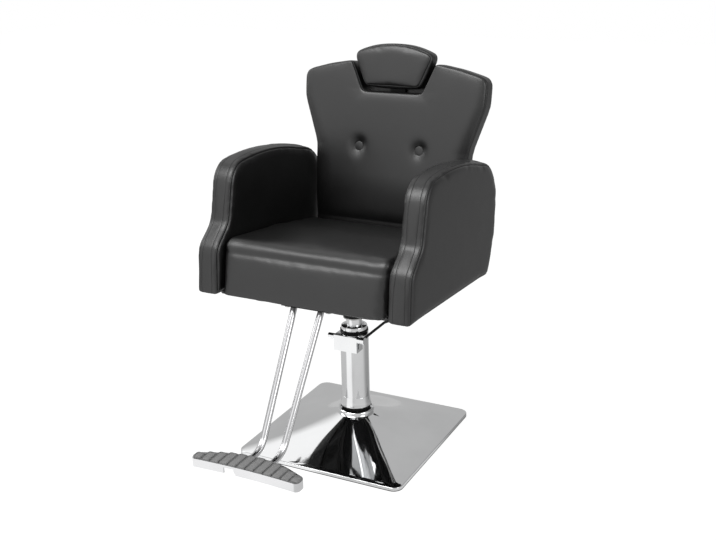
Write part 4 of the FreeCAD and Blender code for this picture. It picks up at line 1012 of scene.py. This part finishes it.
back_pad = remeshed_slab("back_pad", back_outline, back_place, (0, back_band_depth, 0),
                         back_front_round, back_voxel, edge_steps=2)
blown(back_pad, back_swell)
back_points = corners_of(back_pad)
back_rim = depth_inside(back_points[:, [0, 2]], back_outline)
round_back = back_points[:, 1] - back_rim
front_share = np.clip(1 - back_points[:, 1] / back_soft_depth, 0, 1)
side_line = np.array([corner[:2] for corner in back_corners[:4]])
from_side = np.interp(back_points[:, 2], side_line[:, 1], side_line[:, 0])
from_side -= np.abs(back_points[:, 0])
roll_heights, roll_widths, roll_drops = zip(roll_low, roll_high)
roll_width = np.interp(back_points[:, 2], roll_heights, roll_widths)
roll_drop = np.interp(back_points[:, 2], roll_heights, roll_drops)
back_points[:, 1] += front_share * roll_drop * np.clip(1 - from_side / roll_width, 0, 1) ** 2
low_share = np.clip(1 - back_points[:, 2] / back_low_from, 0, 1)
back_points[:, 1] += front_share * back_low_drop * low_share ** 2
for site in button_sites:
    above_tuft = back_points[:, 2] - button_height - pit_rise
    above_tuft = np.where(above_tuft < 0, above_tuft * pit_below, above_tuft)
    from_tuft = np.hypot(back_points[:, 0] - site, above_tuft)
    back_points[:, 1] += front_share * pit_depth * np.exp(-(from_tuft / pit_radius) ** 2)
move_corners(back_pad, back_points)
# each button's ring of painted shade: the tuft's place and the ring's radius
tufts = [(back_frame @ Vector((site, pit_depth, button_height)), shade_ring_radius)
         for site in button_sites]
sew(back_pad, round_back, (front_seam,), tufts)
settle(back_pad, back_frame)
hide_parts("back_cushion", "back_edge_band")
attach(back_pad, "back")


def rear_panel_place(point):
    """The outline drawn in a little towards the panel's middle."""
    inset = 1 - rear_panel_inset / rear_panel_half
    up = (point.y - rear_panel_middle) * inset + rear_panel_middle
    return point.x * inset, rear_panel_front, up


rear_outline = outline_points(both_sides(rear_corners), spacing=7 * mm)
back_shell = remeshed_slab("back_rear_cover", rear_outline, rear_panel_place,
                           (0, rear_panel_rear - rear_panel_front, 0), rear_panel_round,
                           back_voxel)
blown(back_shell, rear_panel_swell, draw_in=0.4, pressure=1.5)
shell_points = corners_of(back_shell)
shell_rim = depth_inside(shell_points[:, [0, 2]], rear_outline)
sew(back_shell, (rear_panel_rear - shell_points[:, 1]) - shell_rim, (rear_seam,))
settle(back_shell, back_frame)
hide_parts("back_rear_panel", "back_board")
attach(back_shell, "back")
give(birch, "back_board")


# Buttons: pressed metal shells covered in leatherette, a little domed. Each is tied through the
# foam, so it sits sunk in its dimple.
button_front = 7.5 * mm
button_skirt = 5 * mm
button_corners = 40
dome_steps = 6
dome_rise = 3.4 * mm
button_edge_round = 1.4 * mm


def dome_share(step):
    """How high the dome is after so many steps inwards, as a share of its whole height."""
    return 1 - (1 - step / (dome_steps + 1)) ** 2


nothing_selected()
button_rear = (button_sites[0], button_front + button_skirt, button_height)
bpy.ops.mesh.primitive_circle_add(vertices=button_corners, radius=button_radius, fill_type="NGON",
                                  location=button_rear, rotation=(math.pi / 2, 0, 0))
button = bpy.context.object
button.name = "back_button_right"
bpy.ops.object.transform_apply(location=True, rotation=True)
bpy.ops.object.mode_set(mode="EDIT")
bpy.ops.mesh.select_all(action="SELECT")
bpy.ops.mesh.extrude_region_move(TRANSFORM_OT_translate={"value": (0, -button_skirt, 0)})
slab_end(button)
# the front face, and the edges round it, are selected for the dome
button_middle = button_front + button_skirt / 2
for face in button.data.polygons:
    face.select = face.normal.y < -0.9
for edge in button.data.edges:
    edge.select = all(button.data.vertices[i].co.y < button_middle for i in edge.vertices)
bpy.ops.object.mode_set(mode="EDIT")
bpy.ops.mesh.select_mode(type="FACE")
for step in range(dome_steps):
    rise = (dome_share(step + 1) - dome_share(step)) * dome_rise
    bpy.ops.mesh.inset(thickness=button_radius / (dome_steps + 1), depth=rise)
bpy.ops.mesh.select_mode(type="VERT")
bpy.ops.object.mode_set(mode="OBJECT")
applied(button, "BEVEL", width=button_edge_round, segments=3, limit_method="ANGLE",
        angle_limit=math.radians(40))
bpy.ops.object.shade_smooth()
second_button = copied(button, "back_button_left",
                       Matrix.Translation((button_sites[1] - button_sites[0], 0, 0)))
for piece in (button, second_button):
    settle(piece, back_frame)
    piece.data.materials.append(smooth_leather)
    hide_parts("back_buttons")
    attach(piece, "back")


# Headrest: a boxed foam pad with an arched top, sewn round its front face, on a flat steel bar
# that slides in the back. Its rear is closed by a covered board.
headrest_front = -3 * mm
headrest_rear = 45 * mm
# the sitter's left half: across, up and corner radius, from the foot to the crest
headrest_corners = (
    (74.5 * mm, 349.5 * mm, 14.0 * mm),
    (110.0 * mm, 430.0 * mm, 15.0 * mm),
    (0.0, 472.0 * mm, 260.0 * mm),
)
headrest_middle = 402 * mm
headrest_half_wide = 110 * mm
headrest_half_high = 55 * mm
headrest_round = 4 * mm
headrest_swell = 3 * mm
headrest_voxel = 3 * mm
headrest_seams = ((2.5 * mm, 1.4 * mm, 1.2 * mm), (43.0 * mm, 1.4 * mm, 1.2 * mm))
# the boxing: how deep it reaches in from the rim, depths behind the front face, and how far it
# stands out at each
boxing_reach = 20 * mm
boxing_depths = (0.0, 4 * mm, 12 * mm, 24 * mm, 40 * mm, 48 * mm)
boxing_stands = (0.0, 1.2 * mm, 4.2 * mm, 5.2 * mm, 5.2 * mm, 3.5 * mm)
headrest_outline = outline_points(both_sides(headrest_corners), spacing=5 * mm)


def headrest_place(point):
    return point.x, headrest_front, point.y


headrest_pad = remeshed_slab("headrest_pad", headrest_outline, headrest_place,
                             (0, headrest_rear - headrest_front, 0), headrest_round,
                             headrest_voxel)
blown(headrest_pad, headrest_swell, draw_in=0.4, pressure=1.2, smoothing=12)
head_points = corners_of(headrest_pad)
head_rim = depth_inside(head_points[:, [0, 2]], headrest_outline)
round_head = head_points[:, 1] - headrest_front - np.maximum(head_rim, 0)
stand = np.interp(head_points[:, 1] - headrest_front, boxing_depths, boxing_stands)
stand *= np.clip(1 - head_rim / boxing_reach, 0, 1)
head_way = np.stack((head_points[:, 0] / headrest_half_wide,
                     (head_points[:, 2] - headrest_middle) / headrest_half_high), axis=1)
head_way /= np.maximum(np.linalg.norm(head_way, axis=1, keepdims=True), 1)
head_points[:, 0] += stand * head_way[:, 0]
head_points[:, 2] += stand * head_way[:, 1]
move_corners(headrest_pad, head_points)
sew(headrest_pad, round_head, headrest_seams)
settle(headrest_pad, back_frame)
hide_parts("headrest_cushion", "headrest_board")
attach(headrest_pad, "headrest")
give(black_coat, "headrest_bar", "headrest_guide")
give(bright_steel, "bar_screws")


# Footrest: two bent chrome tubes from under the seat carry a steel plate and a cast tray with a
# ribbed rubber pad. Each rib is rounded at its ends, so both long edges of the pad look scalloped.
give(black_coat, "foot_plate")
give(polished_chrome("polished_aluminium", 0.12, (0.80, 0.80, 0.81, 1)), "foot_tray")
tube_chrome = polished_chrome("tube_chrome", 0.1, (0.79, 0.79, 0.80, 1), peel=0.001)
tube_radius = 8 * mm
tube_bend = 60 * mm
tube_corners = 48
bend_steps = 16
# start, knee and end of the left tube
tube_path = ((36.0 * mm, -220.5 * mm, 440.0 * mm), (27.4 * mm, -412.8 * mm, 150.0 * mm),
             (26.0 * mm, -516.0 * mm, 150.0 * mm))

for side, word in ((-1, "right"), (1, "left")):
    start, knee, end = (Vector((side * x, y, z)) for x, y, z in tube_path)
    before = (start - knee).normalized()
    after = (end - knee).normalized()
    half_turn = (math.pi - before.angle(after)) / 2
    bend_start = knee + before * tube_bend * math.tan(half_turn)
    bend_end = knee + after * tube_bend * math.tan(half_turn)
    bend_middle = knee + (before + after).normalized() * tube_bend / math.cos(half_turn)
    nothing_selected()
    bpy.ops.mesh.primitive_circle_add(vertices=tube_corners, radius=tube_radius, location=start,
                                      rotation=before.to_track_quat("Z", "Y").to_euler())
    tube = bpy.context.object
    tube.name = "foot_tube_" + word
    bpy.ops.object.transform_apply(location=True, rotation=True)
    bpy.ops.object.mode_set(mode="EDIT")
    bpy.ops.mesh.select_all(action="SELECT")
    bpy.ops.mesh.extrude_region_move(TRANSFORM_OT_translate={"value": bend_start - start})
    bpy.ops.mesh.spin(steps=bend_steps, angle=2 * half_turn, center=bend_middle,
                      axis=before.cross(after).normalized())
    bpy.ops.mesh.extrude_region_move(TRANSFORM_OT_translate={"value": end - bend_end})
    bpy.ops.mesh.select_all(action="SELECT")
    bpy.ops.mesh.remove_doubles(threshold=merge_distance)
    bpy.ops.mesh.fill_holes(sides=0)
    slab_end(tube)
    bpy.ops.object.shade_smooth_by_angle(angle=smooth_below)
    tube.data.materials.append(tube_chrome)
    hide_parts("foot_tubes")
    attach(tube, "seat")

tray_half = 137 * mm
# the sitter's left half: across, along and corner radius, from the front to the rear
tray_corners = (
    (0.0, -521.0 * mm, 1700.0 * mm),
    (136.0 * mm, -530.0 * mm, 10.0 * mm),
    (137.0 * mm, -500.0 * mm, 18.0 * mm),
    (70.0 * mm, -473.0 * mm, 120.0 * mm),
    (0.0, -464.0 * mm, 200.0 * mm),
)
pad_bottom = 163 * mm
pad_top = 168 * mm
rib_count = 12
rib_gap = 1.2 * mm
rib_inset = 2.0 * mm
rib_end_round = 5 * mm
rib_edge_round = 1.1 * mm
rib_sink = 1 * mm
tread_inset = 3.6 * mm
tread_sheet = 2 * mm
line_pitch = 3.2 * mm
tread_grey = (0.25, 0.25, 0.25, 1)
tread_dark_grey = (0.19, 0.19, 0.19, 1)
tread_line = (0.13, 0.13, 0.13, 1)
tray_outline = outline_points(both_sides(tray_corners), spacing=4 * mm)

pad_rubber, pad_tone, pad_shader = principled("grey_rubber_tread", Roughness=0.55)
pad_place = pad_tone.node("ShaderNodeTexCoord", output="Object")
fine_lines = (pad_place.part("X") * (math.tau / line_pitch)).sine()
pad_speckle = noise(pad_tone, scale=300.0, detail=3.0)
pad_shade = pad_speckle.rise(low=0.25, high=0.8).between(tread_dark_grey, tread_grey)
line_shade = fine_lines.rise(low=-1.0, high=-0.2).between(tread_line, pad_shade)
feed(pad_shader, "Base Color", line_shade)
pad_height = fine_lines + pad_speckle * 0.6
feed(pad_shader, "Normal", bump(pad_tone, pad_height, strength=0.3, distance=0.4 * mm))


def tray_edge(x, outermost):
    """How far front, with min, or back, with max, the tray reaches at x."""
    reached = []
    for index, end in enumerate(tray_outline):
        start = tray_outline[index - 1]
        if (start.x - x) * (end.x - x) <= 0 and abs(end.x - start.x) > 1e-7:
            share = (x - start.x) / (end.x - start.x)
            reached.append(start.y + (end.y - start.y) * share)
    return outermost(reached)


def rib_end(low, high, rear):
    """Where a rib ends, so that its corners stay on the tray too."""
    outermost, innermost, inward = (max, min, -1) if rear else (min, max, 1)
    places = (low + rib_end_round / 3, (low + high) / 2, high - rib_end_round / 3)
    return innermost(tray_edge(x, outermost) for x in places) + inward * rib_inset


rib_pitch = 2 * (tray_half - rib_inset) / rib_count
ribs = []
for index in range(rib_count):
    low = -tray_half + rib_inset + index * rib_pitch + rib_gap / 2
    high = low + rib_pitch - rib_gap
    nothing_selected()
    bpy.ops.mesh.primitive_cube_add(size=1)
    rib = bpy.context.object
    for vertex in rib.data.vertices:
        x = high if vertex.co.x > 0 else low
        y = rib_end(low, high, vertex.co.y > 0)
        z = pad_top if vertex.co.z > 0 else pad_bottom + rib_sink
        vertex.co = (x, y, z)
    bpy.ops.object.mode_set(mode="EDIT")
    bpy.ops.mesh.select_all(action="DESELECT")
    bpy.ops.object.mode_set(mode="OBJECT")
    # the four upright edges are rounded
    for edge in rib.data.edges:
        first, second = (rib.data.vertices[i].co for i in edge.vertices)
        edge.select = abs(first.z - second.z) > 1 * mm
    bpy.ops.object.mode_set(mode="EDIT")
    bpy.ops.mesh.select_mode(type="EDGE")
    bpy.ops.mesh.bevel(offset=rib_end_round, segments=5, affect="EDGES")
    bpy.ops.mesh.select_mode(type="VERT")
    bpy.ops.object.mode_set(mode="OBJECT")
    applied(rib, "BEVEL", width=rib_edge_round, segments=3, limit_method="ANGLE",
            angle_limit=math.radians(50))
    ribs.append(rib)


def pad_sheet_place(point):
    """The tray's outline drawn in by the same amount all round."""
    index = tray_outline.index(point)
    run = tray_outline[(index + 1) % len(tray_outline)] - tray_outline[index - 1]
    inward = Vector((-run.y, run.x)).normalized() * tread_inset
    return point.x + inward.x, point.y + inward.y, pad_bottom


foot_tread = slab_start("foot_pad_tread", tray_outline, pad_sheet_place)
bpy.ops.mesh.extrude_region_move(TRANSFORM_OT_translate={"value": (0, 0, tread_sheet)})
slab_end(foot_tread)
pick(*ribs, foot_tread)
bpy.ops.object.join()
bpy.ops.object.shade_smooth_by_angle(angle=smooth_below)
foot_tread.data.materials.clear()
foot_tread.data.materials.append(pad_rubber)
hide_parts("foot_pad")
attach(foot_tread, "seat")


nothing_selected()
